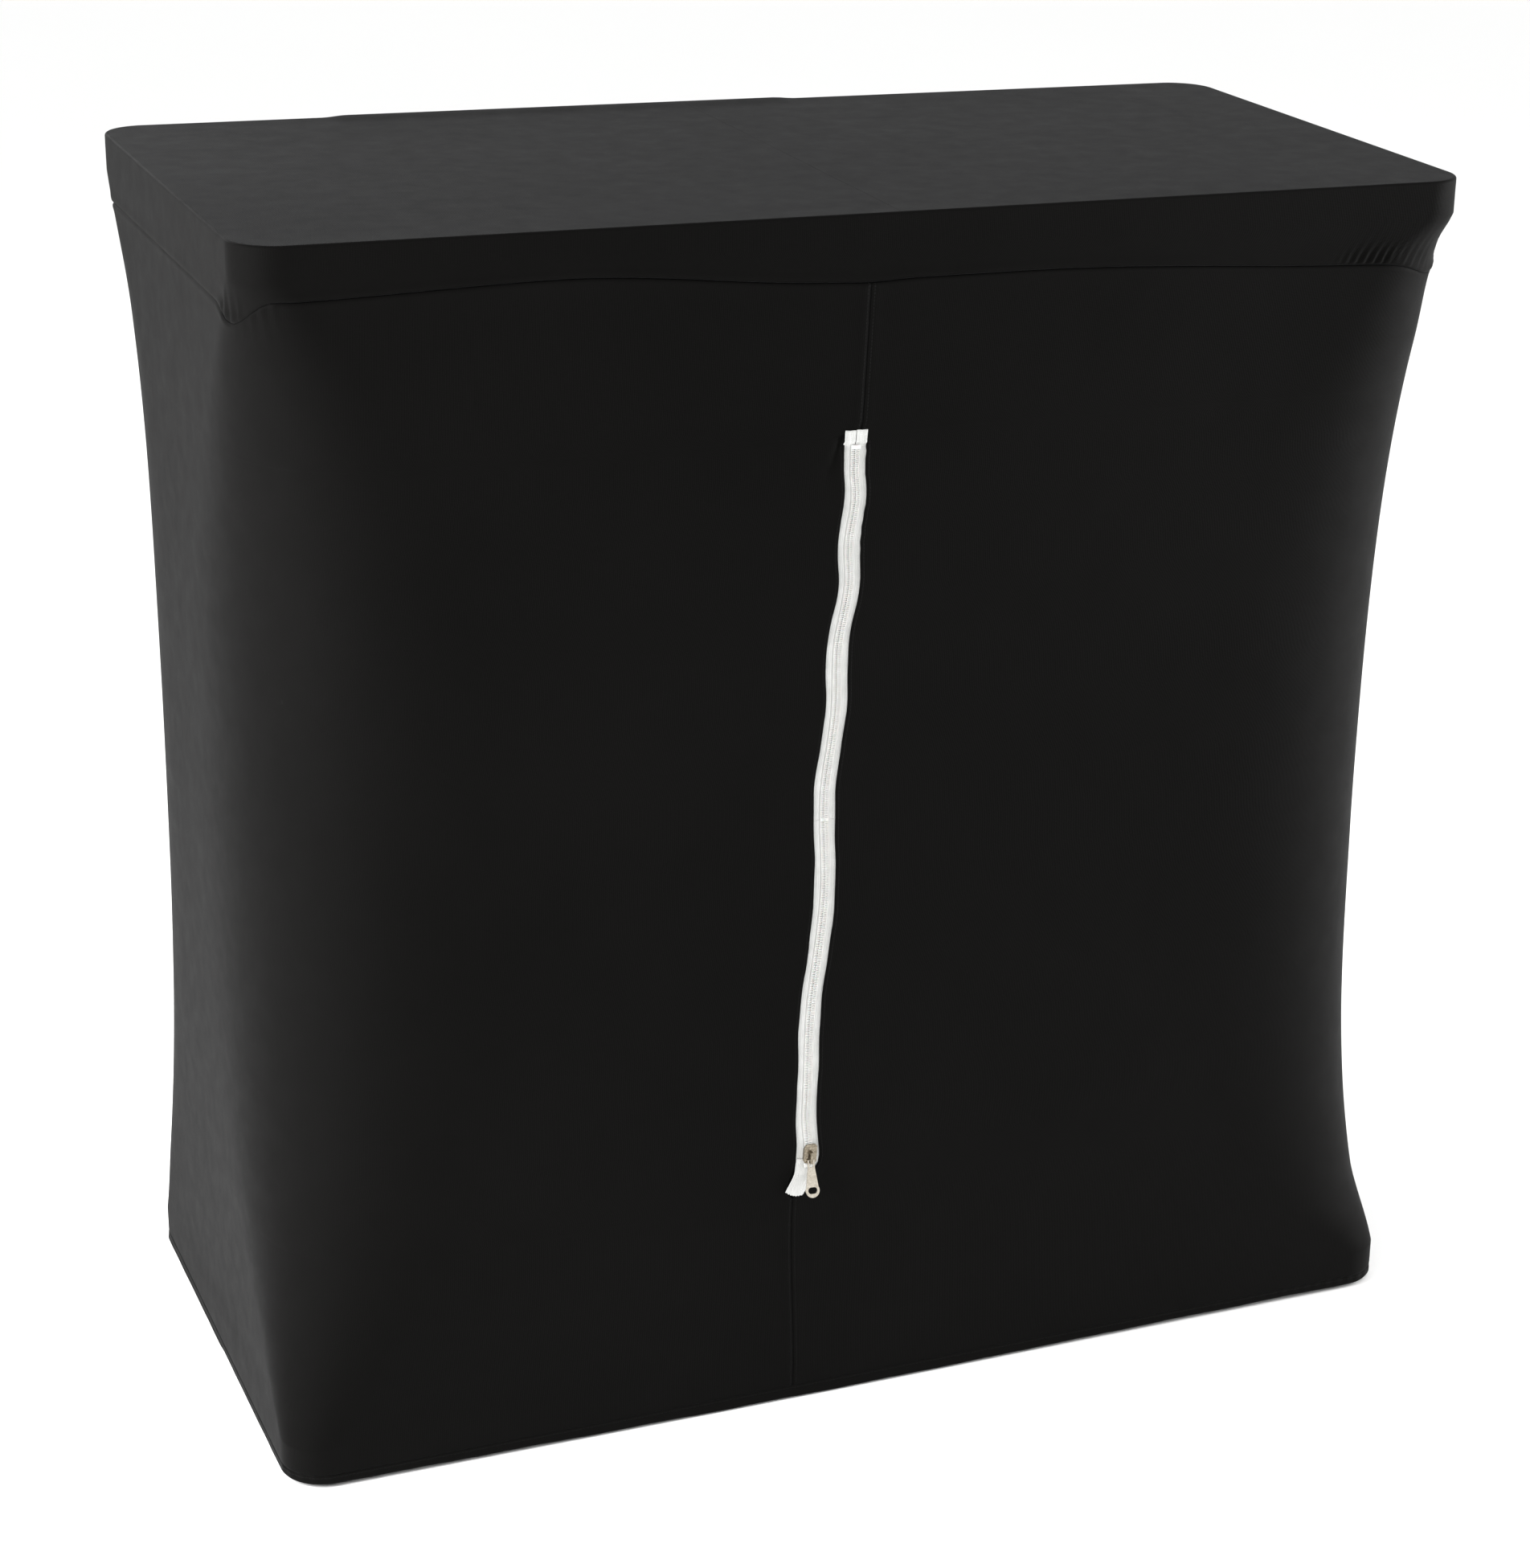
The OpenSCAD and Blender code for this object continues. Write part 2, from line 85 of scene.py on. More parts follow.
# Corner radius at half height of each corner: (side, face), face -1 at the front
WAIST_R = {(-1, -1): 162 * MM, (1, -1): 158 * MM, (-1, 1): 134 * MM, (1, 1): 160 * MM}
# Uneven pull of the fabric at two corners: bends as (height, change of the radius) in mm
UNEVEN_PULL = {
    (1, -1): [(34, 0), (100, 22), (420, 1), (660, -2), (860, 0), (945, 12), (971, 0)],
    (-1, 1): [(34, 0), (110, -6), (300, -3), (560, 3), (870, 21), (971, 0)],
}
BOW_POWER = 2.7
ARRIS_R = 2 * MM
SLOT_LOW, SLOT_FULL_LOW = 188 * MM, 206 * MM
SLOT_FULL_HIGH, SLOT_HIGH = 824 * MM, 832 * MM
HALF_SLOT = 9 * MM

# Bends of the front seam and the zip, off the straight line: (height, offset) in mm
WANDER = [
    (0, -1), (186, -12), (222, -0.4), (268, -5), (345, -7), (455, -1.3), (540, -7), (612, -2.2),
    (658, -4), (714, 2), (745, -0.4), (780, 2.8), (808, 0), (826, -0.6), (840, 4.6),
    (1000, 4),
]
TAPE_TOP_BEND = 826 * MM
# Level of the ring seam across the front: bends as (x, rise) in mm
RING_RISE = [(-470, 11), (-256, 16), (-40, 1), (100, 1), (480, -13)]


def smooth(x, a, b):
    """0 before a, 1 after b, and a smooth rise between."""
    t = np.clip((x - a) / (b - a), 0, 1)
    return t * t * (3 - 2 * t)


def hill(x, width):
    """Smooth bump of height 1 round x = 0."""
    return np.exp(-((x / width) ** 2))


def through(points, x):
    """Smooth curve that turns level at each of the bends given as (place, value) in mm."""
    place, value = np.array(points).T * MM
    i = np.clip(np.searchsorted(place, x) - 1, 0, len(place) - 2)
    return value[i] + (value[i + 1] - value[i]) * smooth(x, place[i], place[i + 1])


def uneven_pull(z, corner):
    """Change of a corner's radius at height z."""
    return through(UNEVEN_PULL[corner], z) if corner in UNEVEN_PULL else 0 * z


def zip_x(z):
    """x of the middle of the front seam and the zip at height z."""
    z = np.asarray(z, float)
    return PIVOT[0] + (z - PIVOT[2]) * LEAN + through(WANDER, z)


def tape_x(z):
    """x of the middle of the tape, whose loose upper end doesn't follow the seam."""
    z = np.asarray(z, float)
    return PIVOT[0] + (z - PIVOT[2]) * LEAN + through(WANDER, np.minimum(z, TAPE_TOP_BEND))


def half_slot(z, side):
    """Half width of the zip's opening in the fabric; 0 where the seam is closed."""
    low = np.sqrt(np.clip((z - SLOT_LOW) / (SLOT_FULL_LOW - SLOT_LOW), 0, 1))
    high = np.sqrt(np.clip((SLOT_HIGH - z) / (SLOT_HIGH - SLOT_FULL_HIGH), 0, 1))
    ease = 0.35 * np.sin(z * 61 + side) + 0.25 * np.sin(z * 143 + 2 * side)
    if side == RIGHT:
        ease = ease + 0.5 * np.sin(z / 0.0125 * 2 * math.pi) * smooth(z, 0.73, 0.76)
        low = low * (0.4 + 0.6 * smooth(z, 0.2, 0.22))
    else:
        ease = ease + 2.2 * hill(z - 0.223, 0.012)
    return np.minimum(low, high) * (HALF_SLOT + ease * MM)


def bow(z):
    """How far the corners are drawn in at height z: 0 at the two boards, 1 half way."""
    u = np.clip((z - BAND_LOW) / (BAND_HIGH - BAND_LOW), 0, 1)
    return 1 - np.abs(2 * u - 1) ** BOW_POWER


def corner_gaps(z, angle, corner):
    """How far a corner's curve is from the side face and from the front or rear face.
    angle runs from 0 on the front or rear face to pi/2 on the side face."""
    pull = bow(z)
    radius = BOARD_R + (WAIST_R[corner] - BOARD_R) * pull + uneven_pull(z, corner)
    reach = np.minimum(radius * (1 + 0.45 * pull), HALF_D - 10 * MM)
    power = -1 / np.log2(1 - 0.2929 * radius / reach)
    s, c = np.sin(angle), np.cos(angle)
    size = (np.abs(s) ** power + np.abs(c) ** power) ** (1 / power)
    return reach - reach * s / size, reach - reach * c / size


def life(a, b):
    """Gentle unevenness of stretched fabric, about -1 to 1."""
    return (
        0.42 * np.sin(7.1 * a + 3.3 * b + 0.6)
        + 0.3 * np.sin(13.7 * b - 5.9 * a + 1.9)
        + 0.18 * np.sin(23.0 * a + 17.0 * b + 4.1)
        + 0.1 * np.sin(41.0 * a - 29.0 * b + 2.2)
    )


# ---- Mesh helpers ----
def push(points, turn, amount):
    """Moves a grid of points along its own normals."""
    du, dv = np.gradient(points, axis=1), np.gradient(points, axis=0)
    n = turn * np.cross(du, dv)
    n /= np.maximum(np.linalg.norm(n, axis=2, keepdims=True), 1e-12)
    return points + n * amount[..., None]


def grid_piece(name, points, uv, closed=False, turn=1, weld=0.0):
    """Mesh piece from a grid of points (rows, columns) with a UV map in metres."""
    rows, cols = points.shape[:2]
    last = cols if closed else cols - 1
    r, c = np.meshgrid(np.arange(rows - 1), np.arange(last), indexing="ij")
    r, c = r.ravel(), c.ravel()
    after = (c + 1) % cols
    quads = np.stack([r * cols + c, r * cols + after, (r + 1) * cols + after, (r + 1) * cols + c], 1)
    across = uv.shape[1]
    corners = np.stack(
        [r * across + c, r * across + c + 1, (r + 1) * across + c + 1, (r + 1) * across + c], 1
    )
    if turn < 0:
        quads, corners = quads[:, ::-1], corners[:, ::-1]
    mesh = bpy.data.meshes.new(name)
    mesh.from_pydata(points.reshape(-1, 3).tolist(), [], quads.tolist())
    layer = mesh.uv_layers.new(name="UVMap")
    layer.data.foreach_set("uv", uv.reshape(-1, 2)[corners.ravel()].astype(np.float32).ravel())
    piece = bpy.data.objects.new(name, mesh)
    bpy.context.scene.collection.objects.link(piece)
    if weld:
        bm = bmesh.new()
        bm.from_mesh(mesh)
        bmesh.ops.remove_doubles(bm, verts=bm.verts, dist=weld)
        bm.to_mesh(mesh)
        bm.free()
    mesh.polygons.foreach_set("use_smooth", [True] * len(mesh.polygons))
    mesh.update()
    return piece


def thicken(piece, thickness):
    """Gives a sheet its thickness, inwards."""
    m = piece.modifiers.new("thickness", "SOLIDIFY")
    m.thickness = thickness
    m.offset = -1
    m.use_even_offset = False
    return piece


def finish_piece(piece, body, material, slot, *stands_for):
    """Gives a piece its material and body, and hides the CAD nodes that it stands for. The slot is not used.
    """
    piece.data.materials.append(material)
    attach(piece, body)
    if stands_for:
        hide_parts(*stands_for)
    return piece


# ---- Cover cloth ----
EDGE_STEPS = np.array([0, 0.4, 0.9, 1.5, 2.3, 3.4, 5, 7.5, 11, 16]) * MM
CORNER_ANGLES = np.linspace(0, math.pi / 2, 39)
# Columns of the cap and the hem along half of the front or rear, and of all cloth along a side
HALF_RUN, SIDE_RUN = 125, 30
# Height of the seam between the sleeves and the hem
HEM_TOP = HEM_Z + 8.5 * MM
# How far the tucked-in rows of the cap and the hem lie behind the sleeves' face
TUCK = 1.2 * MM


def face_columns(z, start, side, face, steps):
    """Columns of a flat face, from the seam edge at x = start out to the corner's reach."""
    gap_x, _ = corner_gaps(z, 0.0, (side, face))
    end = side * (HALF_W - gap_x)
    near = start + side * EDGE_STEPS[:, None]
    t = np.linspace(0, 1, steps)[1:, None]
    x = np.vstack([near, near[-1] + (end - near[-1]) * t])
    return x, np.full_like(x, face * HALF_D)


def corner_columns(z, side, face):
    """Columns round a corner, without its first one."""
    gap_x, gap_y = corner_gaps(z, CORNER_ANGLES[1:, None], (side, face))
    return side * (HALF_W - gap_x), face * (HALF_D - gap_y)


def side_columns(z, side):
    """Inner columns of the side face, from front to rear."""
    front = -HALF_D + corner_gaps(z, math.pi / 2, (side, -1))[1]
    rear = HALF_D - corner_gaps(z, math.pi / 2, (side, 1))[1]
    y = front + (rear - front) * np.linspace(0, 1, SIDE_RUN)[1:-1, None]
    return np.full_like(y, side * HALF_W), y


def sleeve_outline(z, side):
    """x and y of a sleeve half's columns for heights z, one height a row."""
    front_x, front_y = face_columns(z, zip_x(z) + side * half_slot(z, side), side, -1, 36)
    a_x, a_y = corner_columns(z, side, -1)
    s_x, s_y = side_columns(z, side)
    b_x, b_y = corner_columns(z, side, 1)
    rear_x, rear_y = face_columns(z, np.full_like(z, REAR_SEAM_X), side, 1, 26)
    x = np.vstack([front_x, a_x, s_x, b_x[::-1], rear_x[::-1]])
    y = np.vstack([front_y, a_y, s_y, b_y[::-1], rear_y[::-1]])
    front_corner = len(front_x) + len(a_x) // 2
    rear_corner = len(front_x) + len(a_x) + len(s_x) + len(b_x) // 2
    return x.T, y.T, front_corner, rear_corner


def lengths(x, y):
    """Distance along each row of an outline."""
    step = np.hypot(np.diff(x, axis=1), np.diff(y, axis=1))
    return np.hstack([np.zeros((len(x), 1)), np.cumsum(step, axis=1)])


def ring_drop(x, to_front, from_rear):
    """How far the ring seam hangs below its level. to_front is the distance from the middle of
    the nearest front corner towards the middle of the front, from_rear that from a rear corner."""
    left = x < 0
    start, end = np.where(left, -25 * MM, -170 * MM), np.where(left, 25 * MM, -10 * MM)
    drop = -through(RING_RISE, x) * smooth(to_front, start, end)
    drop = drop + 1.5 * MM * hill(x - float(zip_x(SEAM_Z)), 22 * MM) * (to_front > 0)
    # The cap is fullest at the corners, so the seam dips there
    drop = drop + np.where(left, 10 * hill(to_front + 22 * MM, 19 * MM), 13 * hill(to_front, 30 * MM)) * MM
    return drop + np.where(left, 7, 9) * MM * hill(from_rear, 24 * MM)


def sleeve_heights():
    """Heights of a sleeve's rows, closer together at the seams, the slot's ends and the board."""
    near = np.array([0, 0.5, 1.1, 1.9, 3, 4.5, 7, 10, 14]) * MM
    low, high = HEM_TOP, SEAM_Z
    middle = np.arange(low + 20 * MM, high - 18 * MM, 6 * MM)
    ends = np.concatenate([np.arange(174, 194, 1.5), np.arange(820, 836, 1.5)]) * MM
    band = np.array([BAND_LOW - 1 * MM, BAND_LOW, BAND_LOW + 1.2 * MM, BAND_LOW + 3 * MM])
    z = np.unique(np.round(np.concatenate([low + near, middle, ends, band, high - near]), 6))
    keep = np.concatenate([[True], np.diff(z) > 0.3 * MM])
    return z[keep]


def outline_at(outline, z):
    """x and y of an outline's columns where each point has a height of its own."""
    columns = [outline(np.ascontiguousarray(z[:, k])) for k in range(z.shape[1])]
    x = np.stack([column[0][:, k] for k, column in enumerate(columns)], 1)
    y = np.stack([column[1][:, k] for k, column in enumerate(columns)], 1)
    return x, y


def sleeve_cloth(side):
    """Half of the tube below the ring seam, from the front seam round to the rear seam."""
    z0 = sleeve_heights()
    x, y, fc, rc = sleeve_outline(np.full(2, SEAM_Z), side)
    at = lengths(x, y)[0]
    drop = ring_drop(x[0], at[fc] - at, at - at[rc])
    z = z0[:, None] - drop * smooth(z0, SEAM_Z - 90 * MM, SEAM_Z)[:, None]
    x, y = outline_at(lambda heights: sleeve_outline(heights, side), z)
    points = np.dstack([x, y, z])

    # Distances along the fabric: from the front seam, the rear seam, the ring, the hem and the
    # middles of the two corners
    u = lengths(x, y)
    rear_edge = u[:, -1:] - u
    to_ring = (SEAM_Z - z0)[:, None] + 0 * u
    to_hem = (z0 - z0[0])[:, None] + 0 * u
    front_q, rear_q = u - u[:, fc:fc + 1], u - u[:, rc:rc + 1]
    closed = 1 - smooth(half_slot(z0, side), 0.3 * MM, 2 * MM)[:, None]
    flat = 1 - hill(front_q, 0.12) - hill(rear_q, 0.12)

    amount = -0.9 * hill(u, 0.9 * MM) * closed - 0.5 * hill(u, 0.7 * MM) * (1 - closed)
    amount += 0.3 * hill(u - 5 * MM, 2.6 * MM) * closed
    amount -= 0.9 * hill(rear_edge, 0.9 * MM) - 0.3 * hill(rear_edge - 5 * MM, 2.6 * MM)
    amount -= 1.0 * hill(to_ring, 0.9 * MM) - 0.35 * hill(to_ring - 3 * MM, 2 * MM)
    amount -= 0.7 * hill(to_hem, 0.8 * MM)
    # The fabric leaves the boards' edges and draws in a little between them
    between = smooth(z, BAND_LOW, BAND_LOW + 26 * MM) * (1 - smooth(z, SEAM_Z - 10 * MM, SEAM_Z + 20 * MM))
    near_zip = hill(np.where(y < 0, u, 1.0), 0.1)
    amount -= between * np.clip(flat, 0, 1) * (1.1 + 0.5 * life(x * 3, z * 2)) * (1 - near_zip)
    # Short tension puckers beside the seams
    amount += 0.16 * np.sin(z / 0.0085 * 2 * math.pi + 2 * np.sin(z * 37)) * hill(u - 2 * MM, 4 * MM)
    amount += 0.2 * np.sin(z / 0.0095 * 2 * math.pi + 3 * np.sin(z * 31)) * hill(rear_edge - 2 * MM, 5 * MM)
    below = smooth(-to_ring, -26 * MM, -3 * MM)
    pleats = np.sin(front_q / (9.5 * MM) * 2 * math.pi + 0.8)
    amount += 0.45 * pleats * hill(front_q - 4 * MM * side, 17 * MM) * below
    amount += 0.4 * np.sin(rear_q / (8.5 * MM) * 2 * math.pi) * hill(rear_q, 18 * MM) * below
    # Creases that run out from the two ends of the opening
    if side == LEFT:
        amount -= 2.4 * crease(x, y, z, (-43, 832), (-54, 800), 2.2 * MM)
        amount -= 0.6 * crease(x, y, z, (-88, 205), (-100, 176), 7 * MM)
    else:
        amount -= 1.2 * crease(x, y, z, (-48, 196), (-43, 214), 6 * MM)
        amount -= 0.7 * crease(x, y, z, (-44, 168), (-40, 178), 7 * MM)
    points = push(points, side, amount * MM)
    name = "left" if side == LEFT else "right"
    piece = grid_piece(f"sleeve_cloth_{name}", points, np.dstack([u, z]), turn=side)
    return thicken(piece, CLOTH_T)


def crease(x, y, z, start, end, width):
    """Soft straight furrow on the front face between two points given as (x, z) in mm."""
    a, b = np.array(start) * MM, np.array(end) * MM
    d = b - a
    t = np.clip(((x - a[0]) * d[0] + (z - a[1]) * d[1]) / (d @ d), 0, 1)
    away = np.hypot(x - a[0] - t * d[0], z - a[1] - t * d[1])
    return hill(away, width) * (1 - 0.5 * t) * (y < 0)


def loop_outline(z):
    """Closed outline of the cover at heights z, from the middle of the rear over the left side,
    and the places of the middles of its four corners in it: rear left, front left, front right
    and rear right."""
    def corner(side, face):
        gap_x, gap_y = corner_gaps(z, CORNER_ANGLES[:, None], (side, face))
        return side * (HALF_W - gap_x), face * (HALF_D - gap_y)

    def run(a, b, t):
        """Columns between the ends of two corners."""
        (x0, y0), (x1, y1) = a, b
        t = t[1:-1, None]
        return x0 + (x1 - x0) * t, y0 + (y1 - y0) * t

    def end(part, k):
        return part[0][k], part[1][k]

    # Front and rear columns lie opposite each other, so that the top's rings weld at its middle,
    # and closer together towards the corners, where the apron ripples
    t = np.linspace(0, 1, HALF_RUN)
    half = t - 0.24 * np.sin(math.pi * t)
    front = np.concatenate([half / 2, 1 - half[-2::-1] / 2])
    side = np.linspace(0, 1, SIDE_RUN)
    rl, fl, fr, rr = corner(-1, 1), corner(-1, -1), corner(1, -1), corner(1, 1)
    fl, rr = (fl[0][::-1], fl[1][::-1]), (rr[0][::-1], rr[1][::-1])
    middle = (0 * z, 0 * z + HALF_D)
    parts = [
        (middle[0][None], middle[1][None]),
        run(middle, end(rl, 0), 1 - half[::-1]), rl,
        run(end(rl, -1), end(fl, 0), side), fl,
        run(end(fl, -1), end(fr, 0), front), fr,
        run(end(fr, -1), end(rr, 0), side), rr,
        run(end(rr, -1), middle, half),
    ]
    starts = np.cumsum([0] + [len(part[0]) for part in parts])
    middles = [starts[k] + len(parts[k][0]) // 2 for k in (2, 4, 6, 8)]
    x = np.vstack([part[0] for part in parts]).T
    y = np.vstack([part[1] for part in parts]).T
    return x, y, middles


def around(x, y):
    """Distance round a closed outline, with one more column for the return to the start."""
    x, y = np.hstack([x, x[:, :1]]), np.hstack([y, y[:, :1]])
    return lengths(x, y)


def cap_cloth():
    """Flat top and apron in one sheet, down to the ring seam."""
    near = np.array([0, 0.4, 0.9, 1.5, 2.4, 3.6, 5.2, 7, 9, 11.5, 14, 17, 20, 23]) * MM
    plain = np.array([26, 30, 34, 38, 42, 46, 50 - 0.6]) * MM
    plain = plain[SEAM_Z + plain < TOP_Z - ARRIS_R - 0.5 * MM]
    # The lowest two rows are tucked in behind the sleeve
    tuck = np.array([-4, -0.4]) * MM
    low = SEAM_Z + np.concatenate([tuck, near, plain])
    bend = np.radians([0, 22, 45, 68, 90])
    z0 = np.concatenate([low, TOP_Z - ARRIS_R * (1 - np.sin(bend))])
    inset = np.concatenate([TUCK * (low < SEAM_Z), ARRIS_R * (1 - np.cos(bend))])
    x, y, middles = loop_outline(np.full(2, SEAM_Z))
    at = lengths(x, y)[0]
    rl, fl, fr, rr = [at - at[m] for m in middles]
    left = x[0] < 0
    drop = ring_drop(x[0], np.where(left, fl, -fr), np.where(left, rl, rr))
    z = z0[:, None] - drop * (1 - smooth(z0, SEAM_Z, TOP_Z - 4 * MM))[:, None]
    x, y = outline_at(loop_outline, z)
    points = np.dstack([x, y, z])
    points = push(points, 1, -inset[:, None] + 0 * z)
    points[..., 2] = z
    u = around(x, y)
    up = (z0 - SEAM_Z)[:, None] + 0 * x
    amount = -1.0 * hill(up, 0.9 * MM) + 0.4 * hill(up - 4 * MM, 2.6 * MM)
    amount += 0.25 * life(x * 2.3, y * 3.1) * smooth(up, 0, 8 * MM) * (up < TOP_Z - SEAM_Z - 6 * MM)
    rl, fl, fr, rr = [u[:, :-1] - u[:, m:m + 1] for m in middles]

    def ripples(q, start, end, pitch, tilt, tall, size):
        """Row of gathers above the ring seam, between two distances q from a corner."""
        ramp = smooth(q, start, start + 0.4 * (end - start))
        reach = ramp * (1 - smooth(q, end - 0.15 * (end - start), end))
        wave = np.sin((q - tilt * up) / pitch * 2 * math.pi + 0.6 * np.sin(q / pitch * 0.9))
        height = hill(np.maximum(up - 0.15 * tall, 0), tall * (0.5 + 0.5 * ramp))
        return size * wave * reach * height * smooth(up, 0.2 * MM, 3 * MM)

    amount += ripples(fr, -118 * MM, -6 * MM, 7.7 * MM, 0.5, 13 * MM, 0.85)
    # The end of the seam stands out a little at the front right corner
    amount += 1.7 * hill(up - 1.5 * MM, 3 * MM) * hill(fr - 10 * MM, 26 * MM)
    amount += ripples(fl, -52 * MM, -6 * MM, 8.8 * MM, 0.05, 13 * MM, 0.8)
    amount += ripples(rr, 8 * MM, 92 * MM, 8.8 * MM, -0.3, 13 * MM, 0.5)
    amount += ripples(rl, -70 * MM, -8 * MM, 9.4 * MM, 0.25, 12 * MM, 0.45)
    amount += ripples(fr, 8 * MM, 50 * MM, 8.0 * MM, -0.15, 11 * MM, 0.4)
    points = push(points, 1, amount * MM)
    points = close_top(points)
    top_uv = points[len(z0):, :, :2]
    top_uv = np.concatenate([top_uv, top_uv[:, :1]], axis=1)
    side_uv = np.dstack([u, np.hstack([z, z[:, :1]])])
    uv = np.concatenate([side_uv, top_uv + [0, 3]])
    return thicken(grid_piece("cap_cloth", points, uv, closed=True, weld=0.02 * MM), CLOTH_T)


def close_top(points):
    """Adds rings of points that cover the top, from the arris in to the middle line."""
    edge = points[-1]
    spine = HALF_W - HALF_D
    middle = np.stack([np.clip(edge[:, 0], -spine, spine), 0 * edge[:, 1], edge[:, 2]], 1)
    rings = []
    for s in (0.997, 0.985, 0.96, 0.92, 0.86, 0.79, 0.71, 0.62, 0.52, 0.42, 0.31, 0.2, 0.1, 0.0):
        ring = middle + (edge - middle) * s
        rest = smooth(1 - s, 0, 0.06)
        ring[:, 2] += (0.22 * life(ring[:, 0] * 2.1, ring[:, 1] * 3.0) - 0.1) * MM * rest
        rings.append(ring)
    points = np.concatenate([points, np.stack(rings)])
    # A fold of seam allowance lifts the rear edge along part of its length
    x, y, z = points[..., 0], points[..., 1], points[..., 2]
    lift = smooth(x, -0.315, -0.295) * (1 - smooth(x, 0.085, 0.105))
    lift = lift * smooth(y, HALF_D - 26 * MM, HALF_D - 6 * MM) * smooth(z, TOP_Z - 8 * MM, TOP_Z)
    points[..., 2] = z + 1.4 * MM * lift
    return points


def hem_cloth():
    """Hem folded round the base board's lower edge, with the elastic inside."""
    r = 3.0 * MM
    bend = np.radians(np.linspace(0, 90, 7))
    down = np.array([15, 9.5, 8.5, 8.1, 7.5, 6.6, 5.2]) * MM + HEM_Z
    z = list(down) + list(HEM_Z + r * (1 - np.sin(bend)))
    # The upper two rows are tucked in behind the sleeve
    inset = [TUCK] * 2 + [0.0] * (len(down) - 2) + list(r * (1 - np.cos(bend)))
    flat = np.array([6, 10, 15, 20, 24, 27]) * MM
    z += [HEM_Z] * len(flat)
    inset += list(flat)
    turn = np.radians(np.linspace(-90, 90, 7))
    z += list(HEM_Z + 1.5 * MM * (1 + np.sin(turn)))
    inset += list(28.5 * MM + 1.5 * MM * np.cos(turn))
    back = np.array([26, 21, 16, 11]) * MM
    z += [BASE_Z] * len(back)
    inset += list(back)
    z, inset = np.array(z), np.array(inset)
    x, y, _ = loop_outline(np.full(2, BASE_Z))
    u = around(x, y)
    normal_x, normal_y = outline_normals(x[0], y[0])
    shrink_x = np.clip(x[0] - inset[:, None] * normal_x, -HALF_W, HALF_W)
    shrink_y = y[0] - inset[:, None] * normal_y
    over = -0.7 * hill(z - HEM_TOP, 0.7 * MM) * (inset < 1 * MM)
    wave = 0.45 * life(x[0] * 9, y[0] * 7)[None] * smooth(BASE_Z + 4 * MM - z, 0, 4 * MM)[:, None]
    ripple = 0.25 * np.sin(u[:1, :-1] / 0.011 * 2 * math.pi + 3 * np.sin(u[:1, :-1] * 9))
    ripple = ripple * smooth(z, HEM_Z + 1 * MM, HEM_Z + 5 * MM)[:, None] * (inset < 2 * MM)[:, None]
    out = (over[:, None] + 1.1 * ripple) * MM
    # The hem hangs a little lower and fuller near the middle of the front
    hang = hill(x[0] + 0.05, 0.3) * (y[0] < 0) + 0.35 * (y[0] > 0)
    low = smooth(BASE_Z + 1 * MM - z, 0, 2 * MM)[:, None] * hang * (inset < 29 * MM)[:, None]
    out = out + 2.2 * MM * low * smooth(-inset, -8 * MM, 0)[:, None]
    points = np.dstack([shrink_x + out * normal_x, shrink_y + out * normal_y,
                        z[:, None] + wave * MM - 2.3 * MM * low])
    uv = np.dstack([np.repeat(u[:1], len(z), 0), (z[:, None] + 0 * u[:1]) - inset[:, None]])
    piece = grid_piece("hem_cloth", points, uv, closed=True, turn=-1)
    return thicken(piece, 0.9 * MM)


def outline_normals(x, y):
    """Outward normals of the closed outline."""
    dx, dy = np.roll(x, -1) - np.roll(x, 1), np.roll(y, -1) - np.roll(y, 1)
    size = np.hypot(dx, dy)
    # The outline goes left along the rear, so its outer side is on the right of its travel
    return dy / size, -dx / size


# ---- Zip ----
TAPE_FRONT = CLOTH_FRONT + CLOTH_T
TAPE_T = 0.6 * MM
ZIP_SPLIT = 0.5 * (COIL_LOW + COIL_HIGH)
SPLIT_LAP = 2.25 * MM
COIL_PITCH = 1.5 * MM
# The tape's loose upper end comes out over the edge of the opening between these heights
OVER_LOW, OVER_HIGH = 821.5 * MM, 827 * MM
# Height from which the flange behind the cloth narrows, beside the crease at the top
FLANGE_END = {LEFT: 795 * MM, RIGHT: 816.5 * MM}


